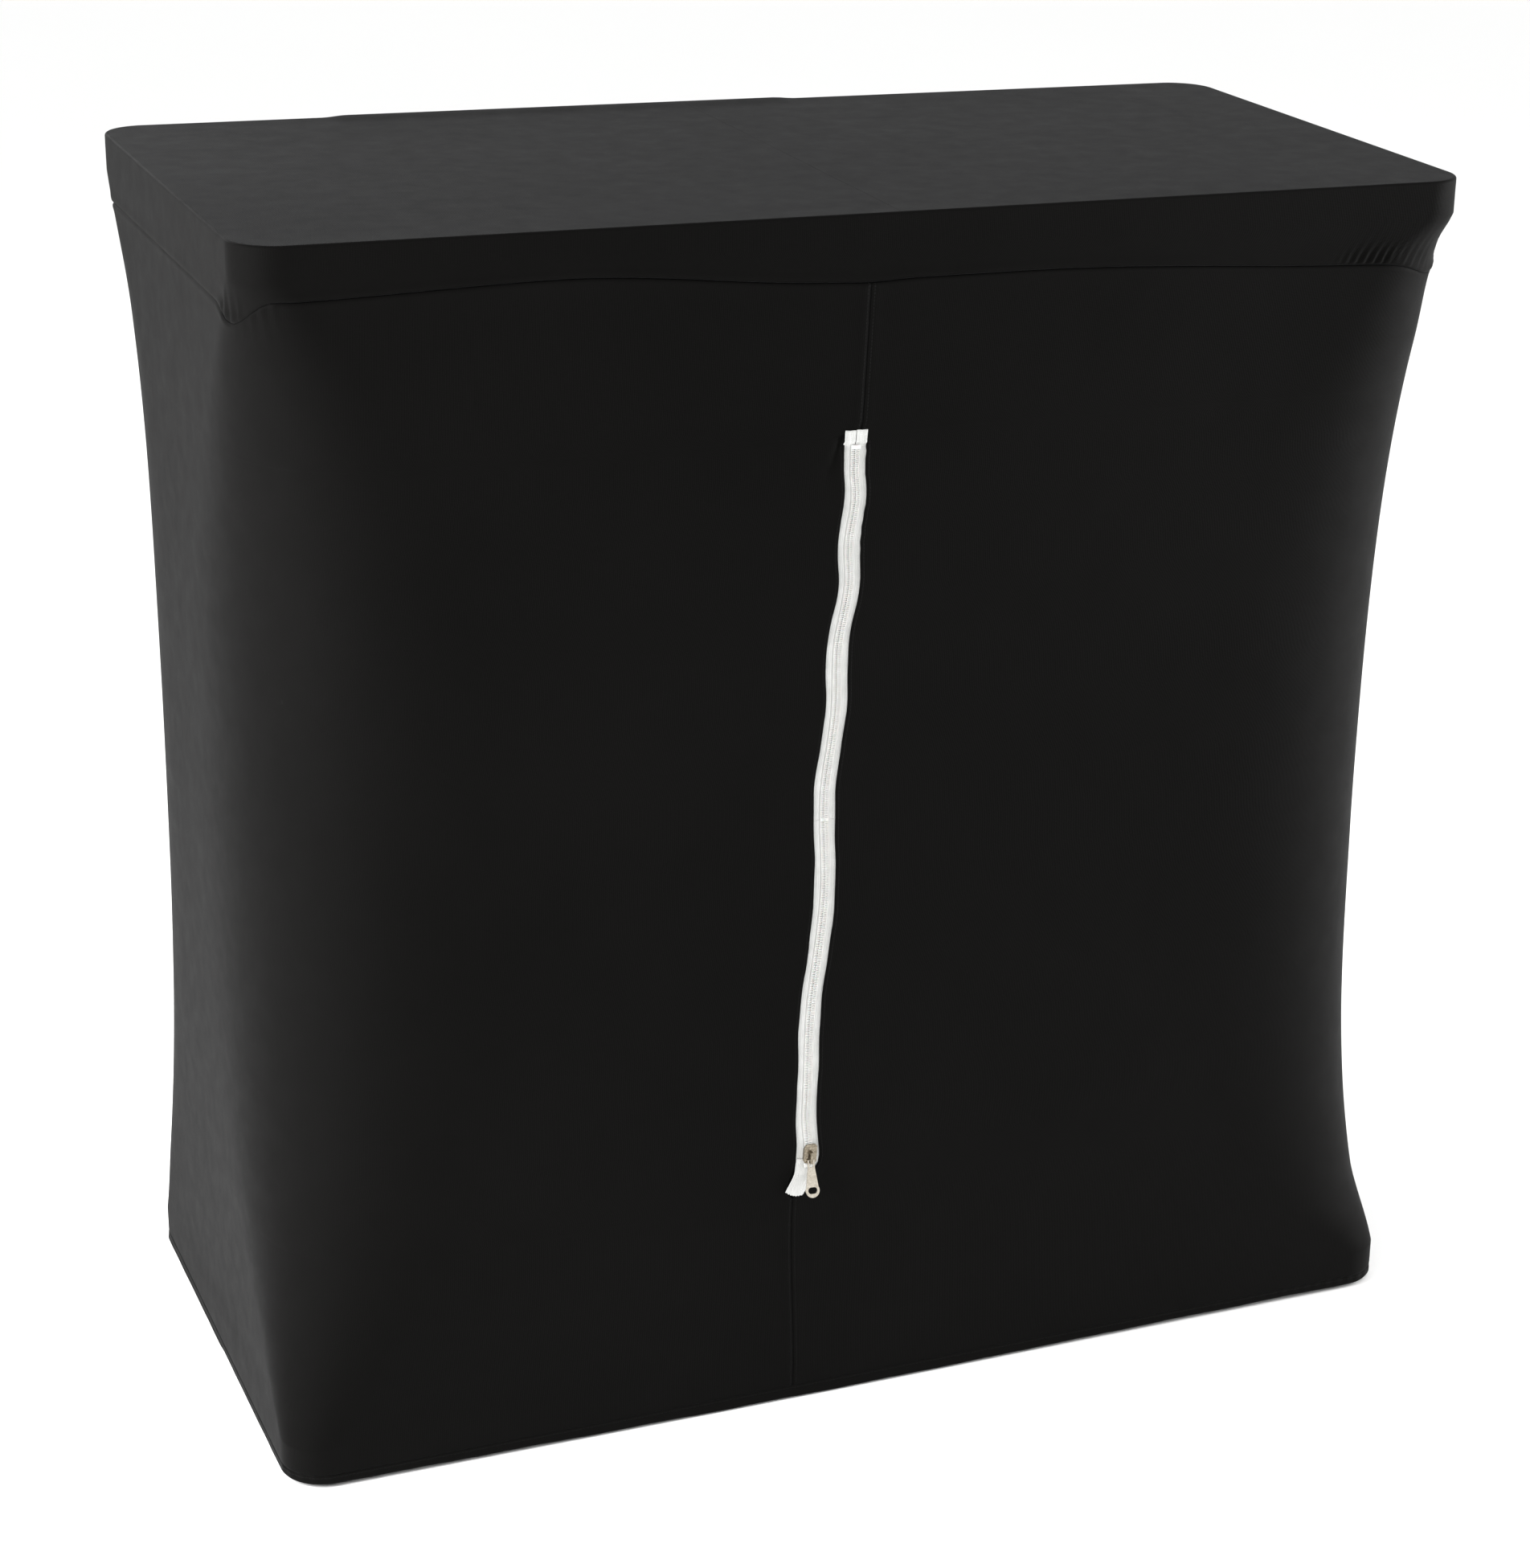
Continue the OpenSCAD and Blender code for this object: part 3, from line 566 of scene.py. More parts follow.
def tape_half(side, low, high, name):
    """One half of the woven tape between two heights, with its long ribs."""
    z = np.unique(np.round(np.concatenate([
        np.arange(low, high, 2 * MM), [low, high],
        np.arange(max(low, OVER_LOW + 1 * MM), min(high, OVER_HIGH + 1 * MM), 0.7 * MM),
    ]), 6))
    over = smooth(z, OVER_LOW, OVER_HIGH)
    narrow = smooth(z, FLANGE_END[side], FLANGE_END[side] + 5 * MM)
    outer = 15 * MM - 4.9 * MM * narrow - 0.9 * MM * over
    inner = 0.3 * MM + 0 * z
    t = np.linspace(0, 1, 43)
    u = inner[:, None] + (outer - inner)[:, None] * t
    ribs = 0.09 * np.cos(u / (1.45 * MM) * 2 * math.pi) * smooth(u, 4.2 * MM, 5 * MM)
    cord = 0.22 * hill(u - 4.7 * MM, 0.7 * MM)
    frill = 0.3 * np.sin(z / 0.013 * 2 * math.pi + side)[:, None] * smooth(u, 6 * MM, 9 * MM) * over[:, None]
    x = tape_x(z)[:, None] + side * u
    y = TAPE_FRONT - over[:, None] * 1.95 * MM - (ribs + cord - 0.3 + frill * 0.8) * MM * 0.9
    # The lower stretch ends in a lap that is tucked in behind the upper one
    lap = (smooth(z, ZIP_SPLIT - 0.5 * MM, ZIP_SPLIT) * (low < ZIP_SPLIT))[:, None]
    y = y + 0.3 * MM * lap
    zz = z[:, None] + 0 * u
    ends = smooth(z, TAPE_HIGH - 1.2 * MM, TAPE_HIGH + 1.5 * MM)[:, None]
    zz = zz + ends * (0.5 * np.sin(u / 0.0043 + side) + 0.25 * np.sin(u / 0.0011)) * MM
    piece = grid_piece(name, np.dstack([x, y, zz]), np.dstack([u, zz]), turn=side)
    return thicken(piece, TAPE_T - 0.15 * MM)


def tape_end():
    """Cut lower end of the tape, curled out of the slot and lying on the fabric to the left.
    Its middle line is a curve with four bends given as (x, z) in mm."""
    t = np.linspace(0, 1, 30)[:, None]
    bends = [(-65, 222), (-66.5, 213), (-69.6, 204), (-75.4, 192)]
    a, b, c, d = np.array(bends) * MM
    line = (1 - t) ** 3 * a + 3 * (1 - t) ** 2 * t * b + 3 * (1 - t) * t**2 * c + t**3 * d
    along = np.gradient(line, axis=0)
    along /= np.linalg.norm(along, axis=1, keepdims=True)
    across = np.stack([-along[:, 1], along[:, 0]], 1)
    u = np.linspace(-1, 1, 41)[None, :]
    half = (7.6 + 1.2 * smooth(t, 0.25, 1.0)) * MM
    x = line[:, :1] + across[:, :1] * u * half
    z = line[:, 1:] + across[:, 1:] * u * half
    z = z + smooth(t, 0.6, 1.0) * (-1.0 + 1.4 * u + 0.35 * np.sin(u * 21) + 2.8 * u * u) * MM
    lift = 0.2 + 2.6 * smooth(t, 0.15, 0.5) - 0.7 * smooth(t, 0.6, 1.0) + 0.9 * u * u * smooth(t, 0.2, 0.6)
    ribs = 0.09 * np.cos(u * half / (1.45 * MM) * 2 * math.pi)
    y = TAPE_FRONT - (lift + ribs) * MM
    piece = grid_piece("zip_tape_end", np.dstack([x, y, z]), np.dstack([u * half, 0 * u + z]))
    return thicken(piece, TAPE_T - 0.15 * MM)


def coil_half(side, low, high, name):
    """Spiral of nylon wire; the turns of the two halves lie between each other."""
    wire, reach, rise = 0.36 * MM, 1.72 * MM, 0.74 * MM
    per_turn = 12
    turns = int(round((high - low) / COIL_PITCH))
    k = np.arange(turns * per_turn + 1)
    angle = k / per_turn * 2 * math.pi
    z = low + (high - low) * k / k[-1]
    u = 1.55 * MM + reach * np.cos(angle + (0 if side == LEFT else math.pi))
    y = TAPE_FRONT - 1.12 * MM - rise * np.sin(angle)
    # Each turn lies across the chain and steps up only at its heel
    step = 0.28 * COIL_PITCH * np.sin(2 * angle)
    path = np.stack([zip_x(z) + side * u, y, z + step], 1)
    return tube_piece(name, path, wire, 6)


def tube_piece(name, path, radius, sides):
    """Round wire along a path, closed at its ends."""
    tangent = np.gradient(path, axis=0)
    tangent /= np.linalg.norm(tangent, axis=1, keepdims=True)
    first = np.cross(tangent, [0, 0, 1.0])
    first /= np.maximum(np.linalg.norm(first, axis=1, keepdims=True), 1e-9)
    second = np.cross(tangent, first)
    a = np.arange(sides) / sides * 2 * math.pi
    ring = first[:, None] * np.cos(a)[None, :, None] + second[:, None] * np.sin(a)[None, :, None]
    points = path[:, None] + radius * ring
    length = np.concatenate([[0], np.cumsum(np.linalg.norm(np.diff(path, axis=0), axis=1))])
    around_uv = np.linspace(0, 2 * math.pi * radius, sides + 1)
    uv = np.dstack([0 * length[:, None] + around_uv, length[:, None] + 0 * around_uv])
    piece = grid_piece(name, points, uv, closed=True)
    bm = bmesh.new()
    bm.from_mesh(piece.data)
    bmesh.ops.holes_fill(bm, edges=[e for e in bm.edges if e.is_boundary])
    bmesh.ops.recalc_face_normals(bm, faces=bm.faces)
    bm.to_mesh(piece.data)
    bm.free()
    return piece


def zip_stop(node):
    """Rounded staple pressed over both rows of the coil."""
    low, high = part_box(node)
    size, centre = high - low, (low + high) / 2
    bm = bmesh.new()
    bmesh.ops.create_cube(bm, size=1)
    bmesh.ops.scale(bm, vec=(size.x * 0.98, size.y * 0.96, size.z * 0.92), verts=bm.verts)
    bmesh.ops.subdivide_edges(bm, edges=bm.edges, cuts=3, use_grid_fill=True)
    for v in bm.verts:
        v.co.y -= 0.16 * MM * math.cos(v.co.x / size.x * 2 * math.pi) * (v.co.y < 0)
    bmesh.ops.bevel(bm, geom=[e for e in bm.edges if e.calc_face_angle(0) > 1], offset=0.35 * MM,
                    segments=2, profile=0.6, affect="EDGES")
    bmesh.ops.translate(bm, vec=centre, verts=bm.verts)
    name = node + "_staple"
    mesh = bpy.data.meshes.new(name)
    bm.to_mesh(mesh)
    bm.free()
    piece = bpy.data.objects.new(name, mesh)
    bpy.context.scene.collection.objects.link(piece)
    mesh.polygons.foreach_set("use_smooth", [True] * len(mesh.polygons))
    return piece


def part_with_zip(piece):
    """Gives one stretch of the zip a mesh of its own."""
    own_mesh(piece)


# ---- Shading helpers ----
class Tree:
    """Short way to write a node tree."""

    def __init__(self, tree):
        self.tree = tree
        self.nodes = tree.nodes

    def add(self, kind, inputs=(), **values):
        n = self.nodes.new("ShaderNode" + kind)
        for key, value in values.items():
            setattr(n, key, value)
        for key, value in dict(inputs).items():
            if isinstance(value, bpy.types.NodeSocket):
                self.tree.links.new(value, n.inputs[key])
            else:
                n.inputs[key].default_value = value
        return n

    def math(self, operation, a, b=0.0, c=0.0, clamp=False):
        return self.add("Math", {0: a, 1: b, 2: c}, operation=operation, use_clamp=clamp).outputs[0]

    def mix(self, factor, a, b):
        n = self.add("Mix", {0: factor, 6: a, 7: b}, data_type="RGBA")
        return n.outputs[2]

    def ramp(self, value, low, high, to_low=0.0, to_high=1.0):
        n = self.add("MapRange", {0: value, 1: low, 2: high, 3: to_low, 4: to_high})
        return n.outputs[0]

    def noise(self, vector, scale, detail=3.0, rough=0.5):
        n = self.add("TexNoise", {"Vector": vector, "Scale": scale, "Detail": detail, "Roughness": rough})
        return n.outputs[0]

    def link(self, output, socket):
        self.tree.links.new(output, socket)

    def given(self):
        return self.nodes.new("NodeGroupInput").outputs

    def result(self):
        return self.nodes.new("NodeGroupOutput").inputs


def group(name, inputs, outputs):
    """Empty node group with inputs {name: default}, where None makes a vector, and outputs."""
    tree = bpy.data.node_groups.new(name, "ShaderNodeTree")
    for key, value in inputs.items():
        kind = "NodeSocketVector" if value is None else "NodeSocketFloat"
        socket = tree.interface.new_socket(name=key, in_out="INPUT", socket_type=kind)
        if value is not None:
            socket.default_value = value
    for key in outputs:
        tree.interface.new_socket(name=key, in_out="OUTPUT", socket_type="NodeSocketFloat")
    t = Tree(tree)
    return t, t.given(), t.result()


def knit_group():
    """Fine ribs of knitted or woven yarn: Height, 0 to 1."""
    t, given, out = group("yarn_rows", {"Vector": None, "Wale": 0.001, "Course": 0.0008, "Uneven": 0.3},
                          ["Height"])
    parts = t.add("SeparateXYZ", {0: given["Vector"]}).outputs
    wobble = t.noise(given["Vector"], 300.0, 2.0)
    wobble = t.math("MULTIPLY", t.math("SUBTRACT", wobble, 0.5), given["Uneven"])
    across = t.math("ADD", t.math("DIVIDE", parts[0], given["Wale"]), wobble)
    along = t.math("ADD", t.math("DIVIDE", parts[1], given["Course"]), wobble)
    rows = t.math("SINE", t.math("MULTIPLY", across, 2 * math.pi))
    courses = t.math("SINE", t.math("MULTIPLY", along, 2 * math.pi))
    both = t.math("MULTIPLY_ADD", courses, 0.22, t.math("MULTIPLY_ADD", rows, 0.28, 0.5))
    t.link(both, out["Height"])
    return t.tree


def stitch_group():
    """One row of thread along a seam: Height of the stitches, and their Mask."""
    t, given, out = group("stitch_row", {"Across": 0.0, "Along": 0.0, "Place": 0.002, "Pitch": 0.003,
                                         "Width": 0.0005}, ["Height", "Mask"])
    away = t.math("ABSOLUTE", t.math("SUBTRACT", given["Across"], given["Place"]))
    line = t.math("SUBTRACT", 1.0, t.math("DIVIDE", away, given["Width"]), clamp=True)
    turn = t.math("FRACT", t.math("DIVIDE", given["Along"], given["Pitch"]))
    dash = t.math("PINGPONG", t.math("MULTIPLY", turn, 2.0), 1.0)
    dash = t.ramp(dash, 0.12, 0.45)
    mask = t.math("MULTIPLY", line, dash)
    t.link(mask, out["Mask"])
    t.link(t.math("POWER", mask, 0.6), out["Height"])
    return t.tree


def dust_group():
    """Sparse fluff and specks, 0 to 1."""
    t, given, out = group("dust", {"Vector": None, "Size": 900.0, "Amount": 0.3}, ["Mask"])
    specks = t.add("TexVoronoi", {"Vector": given["Vector"], "Scale": given["Size"]}, feature="F1")
    near = t.ramp(specks.outputs["Distance"], 0.16, 0.04)
    patches = t.noise(given["Vector"], 9.0, 4.0, 0.6)
    where = t.ramp(patches, 0.62, 0.75)
    chance = t.math("GREATER_THAN", t.add("SeparateColor", {0: specks.outputs["Color"]}).outputs[0], 0.9)
    mask = t.math("MULTIPLY", t.math("MULTIPLY", near, where), t.math("MULTIPLY", chance, given["Amount"]))
    t.link(mask, out["Mask"])
    return t.tree


def scuff_group():
    """Uneven handling marks: Mask, 0 to 1, with fine lines along one axis."""
    t, given, out = group("scuffs", {"Vector": None, "Scale": 60.0, "Stretch": 8.0, "Amount": 0.5},
                          ["Mask", "Height"])
    parts = t.add("SeparateXYZ", {0: given["Vector"]}).outputs
    drawn = t.add("CombineXYZ", {0: t.math("MULTIPLY", parts[0], given["Stretch"]),
                                 1: t.math("MULTIPLY", parts[1], given["Stretch"]), 2: parts[2]}).outputs[0]
    fine = t.noise(drawn, given["Scale"], 6.0)
    broad = t.noise(given["Vector"], 14.0, 2.0)
    mask = t.math("MULTIPLY", t.ramp(fine, 0.45, 0.75), t.ramp(broad, 0.35, 0.65))
    t.link(t.math("MULTIPLY", mask, given["Amount"]), out["Mask"])
    t.link(fine, out["Height"])
    return t.tree


YARN, STITCH, DUST, SCUFF = knit_group(), stitch_group(), dust_group(), scuff_group()


def placed(t, tree, inputs):
    """Puts a node group into a tree and gives back its outputs."""
    n = t.nodes.new("ShaderNodeGroup")
    n.node_tree = tree
    for key, value in inputs.items():
        if isinstance(value, bpy.types.NodeSocket):
            t.link(value, n.inputs[key])
        else:
            n.inputs[key].default_value = value
    return n.outputs


def new_material(name, **fixed):
    """Material with a Principled BSDF; fixed holds constant values of its sockets."""
    material = bpy.data.materials.new(name)
    material.use_nodes = True
    t = Tree(material.node_tree)
    shader = t.nodes["Principled BSDF"]
    for key, value in fixed.items():
        shader.inputs[key.replace("_", " ")].default_value = value
    return material, t, shader


def bump(t, shader, height, distance, strength=1.0, under=None):
    """Relief of a material, over the normal of the relief under it if there is one."""
    inputs = {"Height": height, "Distance": distance, "Strength": strength}
    if under is not None:
        inputs["Normal"] = under
    n = t.add("Bump", inputs)
    t.link(n.outputs[0], shader.inputs["Normal"])
    return n.outputs[0]


def uv_of(t):
    return t.add("UVMap", uv_map="UVMap").outputs[0]


def stretch_knit():
    """Black polyester and elastane knit with a little fluff, worn greyer patches and a painted highlight on
    the tops of its yarn rows.
    """
    material, t, shader = new_material(
        "stretch_knit", Roughness=0.62, Specular_IOR_Level=0.034, Sheen_Weight=0.0155,
        Sheen_Roughness=0.38, Sheen_Tint=(0.92, 0.95, 1.0, 1.0))
    uv, where = uv_of(t), t.add("TexCoord").outputs["Object"]
    across, along = t.add("SeparateXYZ", {0: uv}).outputs[:2]
    yarn = placed(t, YARN, {"Vector": uv, "Wale": 0.0011, "Course": 0.0009, "Uneven": 0.5})["Height"]
    worn = t.ramp(t.noise(where, 3.2, 5.0, 0.55), 0.35, 0.72)
    cloud = t.noise(where, 46.0, 3.0, 0.6)
    base = t.mix(worn, (0.0018, 0.0017, 0.0015, 1), (0.0031, 0.0029, 0.0027, 1))
    # Painted highlight: the raised tops of the yarn rows are painted lighter than the hollows between them
    base = t.mix(t.math("MULTIPLY", yarn, 0.35), base, (0.0052, 0.0050, 0.0048, 1))
    hem = placed(t, STITCH, {"Across": along, "Along": across, "Place": 0.0095, "Pitch": 0.0032,
                             "Width": 0.0006})
    seam = placed(t, STITCH, {"Across": across, "Along": along, "Place": 0.0026, "Pitch": 0.0028,
                              "Width": 0.0006})
    thread = t.math("MAXIMUM", hem["Mask"], seam["Mask"])
    base = t.mix(t.math("MULTIPLY", thread, 0.5), base, (0.009, 0.009, 0.0086, 1))
    fluff = placed(t, DUST, {"Vector": where, "Size": 420.0, "Amount": 0.35})["Mask"]
    base = t.mix(fluff, base, (0.12, 0.12, 0.115, 1))
    t.link(base, shader.inputs["Base Color"])
    rough = t.math("MULTIPLY_ADD", cloud, 0.16, 0.5)
    t.link(t.math("ADD", rough, t.math("MULTIPLY", worn, 0.05)), shader.inputs["Roughness"])
    height = t.math("MAXIMUM", hem["Height"], seam["Height"])
    low = bump(t, shader, yarn, 0.00018, 0.55)
    bump(t, shader, height, 0.0004, 0.8, under=low)
    return material


def woven_tape():
    """White polyester tape with ribs, picks and two rows of stitches along the coil."""
    material, t, shader = new_material(
        "woven_tape", Roughness=0.78, Specular_IOR_Level=0.35, Sheen_Weight=0.12, Sheen_Roughness=0.5)
    uv = uv_of(t)
    across, along = t.add("SeparateXYZ", {0: uv}).outputs[:2]
    off = t.math("ABSOLUTE", across)
    yarn = placed(t, YARN, {"Vector": uv, "Wale": 0.00145, "Course": 0.0007, "Uneven": 0.25})["Height"]
    row = placed(t, STITCH, {"Across": off, "Along": along, "Place": 0.0042, "Pitch": 0.0016,
                             "Width": 0.00045})
    second = placed(t, STITCH, {"Across": off, "Along": along, "Place": 0.0078, "Pitch": 0.0024,
                                "Width": 0.0004})
    shade = t.noise(uv, 70.0, 3.0, 0.6)
    base = t.mix(t.ramp(shade, 0.3, 0.7), (0.57, 0.575, 0.56, 1), (0.69, 0.695, 0.68, 1))
    # Painted shade: the hollows between the ribs and picks, where the yarn is low, are painted darker
    base = t.mix(t.ramp(yarn, 0.1, 0.6, 0.45, 0.0), base, (0.44, 0.44, 0.42, 1))
    thread = t.math("MAXIMUM", row["Mask"], second["Mask"])
    base = t.mix(t.math("MULTIPLY", thread, 0.75), base, (0.78, 0.78, 0.76, 1))
    t.link(base, shader.inputs["Base Color"])
    t.link(t.math("MULTIPLY_ADD", shade, 0.2, 0.66), shader.inputs["Roughness"])
    low = bump(t, shader, yarn, 0.00016, 0.8)
    bump(t, shader, t.math("MAXIMUM", row["Height"], second["Height"]), 0.0003, 0.9, under=low)
    return material


def coil_nylon():
    """White nylon wire, slightly translucent."""
    material, t, shader = new_material(
        "coil_nylon", Roughness=0.42, Specular_IOR_Level=0.5, Subsurface_Weight=0.1,
        Subsurface_Scale=0.001)
    where = t.add("TexCoord").outputs["Object"]
    shade = t.noise(where, 180.0, 3.0, 0.6)
    base = t.mix(t.ramp(shade, 0.3, 0.7), (0.64, 0.64, 0.62, 1), (0.76, 0.76, 0.74, 1))
    t.link(base, shader.inputs["Base Color"])
    t.link(t.math("MULTIPLY_ADD", shade, 0.25, 0.3), shader.inputs["Roughness"])
    bump(t, shader, t.noise(where, 2600.0, 2.0), 0.00004, 0.5)
    return material


def metal(name, dark, light, worn, rough, scale, stretch):
    """Plated or drawn metal with fine lines, handling marks and a duller worn tone."""
    material, t, shader = new_material(name, Metallic=1.0, Roughness=rough)
    where = t.add("TexCoord").outputs["Object"]
    scuffs = placed(t, SCUFF, {"Vector": where, "Scale": scale, "Stretch": stretch, "Amount": 0.8})
    tone = t.ramp(t.noise(where, scale * 0.6, 4.0, 0.6), 0.3, 0.7)
    base = t.mix(tone, (*dark, 1), (*light, 1))
    base = t.mix(scuffs["Mask"], base, (*worn, 1))
    t.link(base, shader.inputs["Base Color"])
    grit = t.math("MULTIPLY_ADD", scuffs["Height"], 0.22, rough - 0.11)
    t.link(t.math("ADD", grit, t.math("MULTIPLY", scuffs["Mask"], 0.12)), shader.inputs["Roughness"])
    bump(t, shader, scuffs["Height"], 0.00004, 0.5)
    return material


def plastic(name, dark, light, rough, grain):
    """Moulded plastic or rubber with a fine spark-eroded grain."""
    material, t, shader = new_material(name, Roughness=rough, Specular_IOR_Level=0.45)
    where = t.add("TexCoord").outputs["Object"]
    shade = t.noise(where, 38.0, 4.0, 0.55)
    base = t.mix(t.ramp(shade, 0.3, 0.7), (*dark, 1), (*light, 1))
    dust = placed(t, DUST, {"Vector": where, "Size": 700.0, "Amount": 0.5})["Mask"]
    t.link(t.mix(dust, base, (0.3, 0.3, 0.28, 1)), shader.inputs["Base Color"])
    t.link(t.math("MULTIPLY_ADD", shade, 0.18, rough - 0.09), shader.inputs["Roughness"])
    bump(t, shader, t.noise(where, grain, 2.0), 0.00008, 0.5)
    return material


def board_wood():
    """Raw softwood board with long grain, darker rings and a rough cut edge."""
    material, t, shader = new_material("board_wood", Roughness=0.7, Specular_IOR_Level=0.3)
    where = t.add("TexCoord").outputs["Object"]
    drawn = t.add("Mapping", {"Vector": where, "Scale": (0.8, 7.0, 14.0)}).outputs[0]
    rings = t.add("TexWave", {"Vector": drawn, "Scale": 3.0, "Distortion": 5.0, "Detail": 3.0,
                              "Detail Scale": 1.2}, bands_direction="Y").outputs[1]
    fine = t.add("Mapping", {"Vector": where, "Scale": (4, 90, 120)}).outputs[0]
    fibre = t.noise(fine, 5.0, 5.0)
    base = t.mix(rings, (0.66, 0.49, 0.32, 1), (0.5, 0.34, 0.2, 1))
    base = t.mix(t.ramp(fibre, 0.35, 0.7, 0.0, 0.5), base, (0.72, 0.57, 0.4, 1))
    t.link(base, shader.inputs["Base Color"])
    t.link(t.math("MULTIPLY_ADD", fibre, 0.25, 0.55), shader.inputs["Roughness"])
    bump(t, shader, t.math("ADD", t.math("MULTIPLY", rings, 0.4), fibre), 0.0003, 0.6)
    return material


def elastic_band():
    """Pale knitted elastic."""
    material, t, shader = new_material("elastic_band", Roughness=0.85, Sheen_Weight=0.1)
    where = t.add("TexCoord").outputs["Object"]
    yarn = placed(t, YARN, {"Vector": where, "Wale": 0.0016, "Course": 0.0016, "Uneven": 0.2})["Height"]
    # Painted shade and highlight: the hollows of the knit are painted darker and its raised tops lighter
    t.link(t.mix(yarn, (0.56, 0.56, 0.54, 1), (0.8, 0.8, 0.78, 1)), shader.inputs["Base Color"])
    bump(t, shader, yarn, 0.0003, 0.8)
    return material


def studio_floor():
    """Plain white paper floor."""
    material, t, shader = new_material("studio_floor", Roughness=0.6, Specular_IOR_Level=0.2)
    where = t.add("TexCoord").outputs["Object"]
    shade = t.noise(where, 1.2, 2.0)
    t.link(t.mix(shade, (0.955, 0.955, 0.95, 1), (0.965, 0.965, 0.96, 1)), shader.inputs["Base Color"])
    return material


# ---- Camera, lights and floor ----
CAMERA_PLACE = (-1.0284, -2.6531, 1.5213)
CAMERA_TURN, CAMERA_TILT, CAMERA_ROLL = -24.9654, 21.2465, 2.0006  # degrees
CAMERA_LENS = 80.67
CAMERA_SHIFT = (-0.1443, 0.0317)


def add_camera():
    """Camera that looks at the front and the left side, from a little above the top."""
    turn, tilt, roll = [math.radians(a) for a in (CAMERA_TURN, CAMERA_TILT, CAMERA_ROLL)]
    back = Vector((math.sin(turn) * math.cos(tilt), -math.cos(turn) * math.cos(tilt), math.sin(tilt)))
    right = Vector((math.cos(turn), math.sin(turn), 0))
    up = back.cross(right)
    x = math.cos(roll) * right + math.sin(roll) * up
    y = -math.sin(roll) * right + math.cos(roll) * up
    data = bpy.data.cameras.new("camera")
    data.lens = CAMERA_LENS
    data.sensor_width = 36
    data.shift_x, data.shift_y = CAMERA_SHIFT
    data.clip_end = 60
    camera = bpy.data.objects.new("camera", data)
    facing = Matrix((x, y, back)).transposed().to_4x4()
    camera.matrix_world = Matrix.Translation(CAMERA_PLACE) @ facing
    bpy.context.scene.collection.objects.link(camera)
    bpy.context.scene.camera = camera


def softbox(name, place, aim, size, power, tint=(1, 1, 1)):
    """Soft rectangular light at a place, turned to an aim, with its power in watts."""
    data = bpy.data.lights.new(name, "AREA")
    data.shape = "RECTANGLE"
    data.size, data.size_y = size
    data.energy = power
    data.color = tint
    lamp = bpy.data.objects.new(name, data)
    lamp.location = place
    lamp.rotation_euler = (Vector(aim) - Vector(place)).to_track_quat("-Z", "Y").to_euler()
    bpy.context.scene.collection.objects.link(lamp)


def add_studio():
    """White surroundings, four softboxes and the floor."""
    world = bpy.data.worlds.new("studio")
    world.use_nodes = True
    world.node_tree.nodes["Background"].inputs[0].default_value = (1, 1, 1, 1)
    world.node_tree.nodes["Background"].inputs[1].default_value = 1.03
    bpy.context.scene.world = world
    bpy.context.scene.view_settings.view_transform = "Standard"
    softbox("floor_left", (-1.9, -0.5, 1.05), (-1.3, -0.3, 0), (1.0, 1.2), 62, (0.99, 0.99, 1.0))
    softbox("rear_left", (-1.6, 3.4, 2.2), (0, 0, 0.9), (3.0, 1.8), 45)
    softbox("overhead", (0.2, 0.4, 4.2), (0, 0, 0.5), (3.4, 3.4), 6)
    softbox("right_card", (2.6, -0.75, 0.9), (0.4, -0.2, 0.6), (1.0, 1.6), 56)
    bm = bmesh.new()
    bmesh.ops.create_grid(bm, x_segments=8, y_segments=8, size=14)
    mesh = bpy.data.meshes.new("floor")
    bm.to_mesh(mesh)
    bm.free()
    floor = bpy.data.objects.new("floor", mesh)
    floor.data.materials.append(studio_floor())
    bpy.context.scene.collection.objects.link(floor)


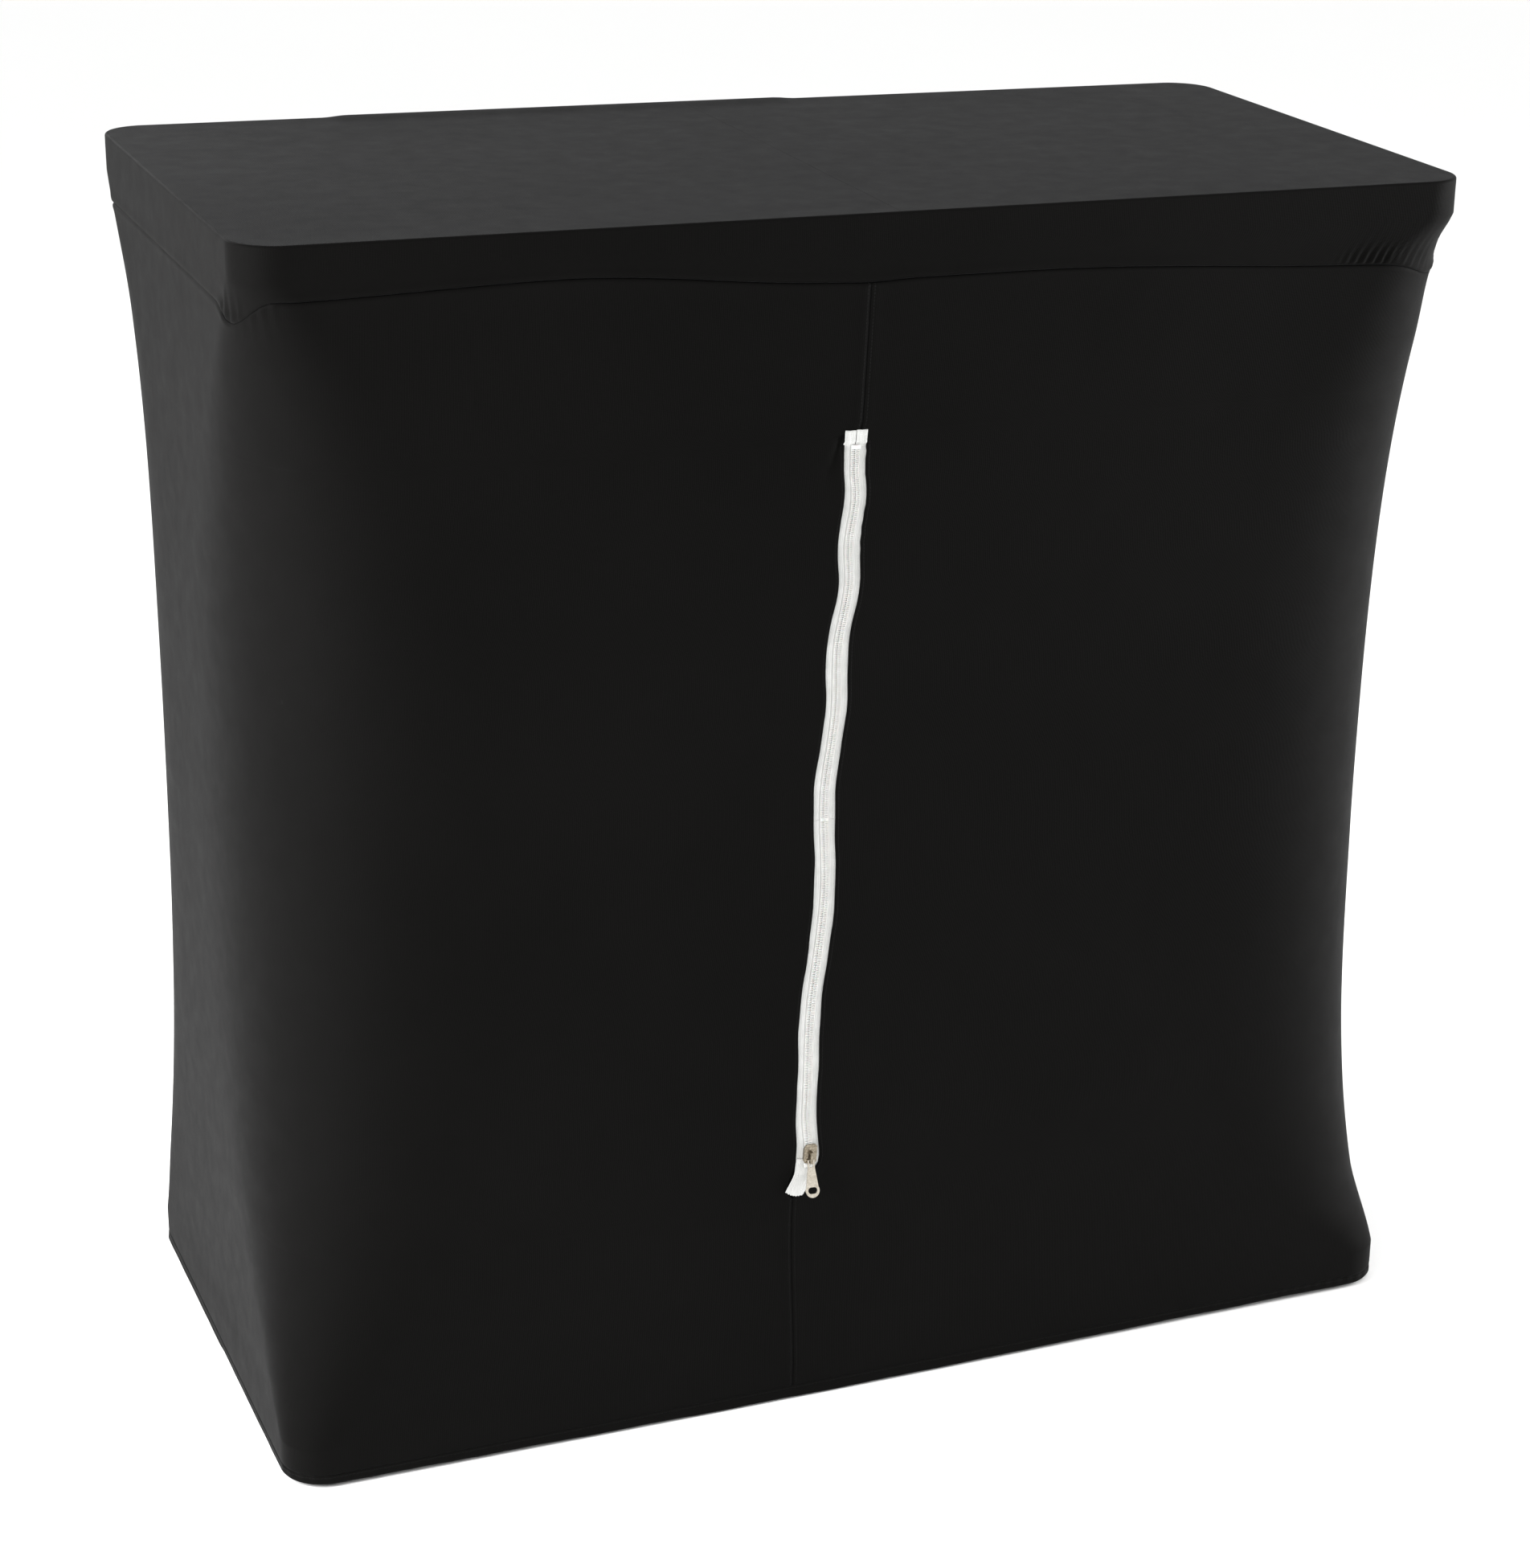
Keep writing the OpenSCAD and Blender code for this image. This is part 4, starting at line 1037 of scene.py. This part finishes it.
def dress_frame():
    """Finishes of the parts under the cover and of the slider, whose CAD shapes stay."""
    wood = board_wood()
    # Each metal: dark tone, light tone, worn tone, roughness, scale of the marks, their stretch
    tube = metal("anodised_tube", (0.6, 0.61, 0.62), (0.74, 0.75, 0.76), (0.5, 0.5, 0.51), 0.34, 90.0, 9.0)
    nylon = plastic("socket_nylon", (0.018, 0.018, 0.02), (0.03, 0.03, 0.032), 0.5, 1500.0)
    zinc = metal("zinc_plate", (0.52, 0.53, 0.55), (0.7, 0.71, 0.72), (0.4, 0.41, 0.43), 0.36, 300.0, 2.0)
    brass = metal("insert_brass", (0.62, 0.46, 0.2), (0.76, 0.6, 0.3), (0.4, 0.29, 0.13), 0.32, 300.0, 3.0)
    rubber = plastic("foot_rubber", (0.012, 0.012, 0.012), (0.024, 0.024, 0.024), 0.82, 900.0)
    nickel = metal(
        "slider_nickel", (0.5, 0.45, 0.37), (0.74, 0.69, 0.6), (0.34, 0.29, 0.22), 0.33, 700.0, 2.5)
    body = metal(
        "slider_body", (0.16, 0.135, 0.095), (0.42, 0.37, 0.29), (0.1, 0.08, 0.055), 0.3, 900.0, 1.5)
    finishes = [
        (wood, ("top_board", "base_board", "shelf")), (tube, ("lower_upright", "upper_upright")),
        (nylon, ("base_sockets", "top_sockets", "lower_upright_plugs", "upper_upright_plugs")),
        (zinc, ("base_socket_screws", "top_socket_screws", "shelf_studs", "foot_stud")),
        (brass, ("foot_inserts",)), (rubber, ("foot_pad",)), (elastic_band(), ("hem_elastic",)),
        (body, ("zip_slider",)), (nickel, ("zip_front_pull", "zip_rear_pull")),
    ]
    for material, starts in finishes:
        for name, node in frame["nodes"].items():
            if name.startswith(starts):
                node.data.materials.clear()
                node.data.materials.append(material)


def build_cover():
    """Makes the cover's cloth pieces."""
    knit = stretch_knit()
    cap = finish_piece(cap_cloth(), "frame", knit, "stretch_fabric", "cover_cap")
    left = finish_piece(sleeve_cloth(LEFT), "frame", knit, "stretch_fabric", "cover_sleeve_left")
    right = finish_piece(sleeve_cloth(RIGHT), "frame", knit, "stretch_fabric", "cover_sleeve_right")
    hem = finish_piece(hem_cloth(), "frame", knit, "stretch_fabric", "hem_casing")
    return cap, left, right, hem


def build_zip():
    """Makes the zip's pieces and gives back those of its tape."""
    tape, nylon = woven_tape(), coil_nylon()
    tapes = []
    for side, name in ((LEFT, "left"), (RIGHT, "right")):
        for upper, part in ((False, "lower"), (True, "upper")):
            low, high = (ZIP_SPLIT, TAPE_HIGH) if upper else (TAPE_LOW, ZIP_SPLIT + SPLIT_LAP)
            piece = tape_half(side, low, high, f"zip_tape_{name}_{part}")
            tapes.append(finish_piece(piece, "frame", tape, "zip_tape", f"zip_tape_{name}"))
            part_with_zip(piece)
            low, high = (ZIP_SPLIT, COIL_HIGH) if upper else (COIL_LOW, ZIP_SPLIT + SPLIT_LAP)
            piece = coil_half(side, low, high, f"zip_coil_{name}_{part}")
            finish_piece(piece, "frame", nylon, "zip_coil", f"zip_coil_{name}")
            part_with_zip(piece)
    tapes.append(finish_piece(tape_end(), "frame", tape, "zip_tape"))
    for node in ("zip_top_stop", "zip_bottom_stop"):
        finish_piece(zip_stop(node), "frame", nylon, "zip_coil", node)
    return tapes


add_camera()
add_studio()
dress_frame()
build_cover()
build_zip()
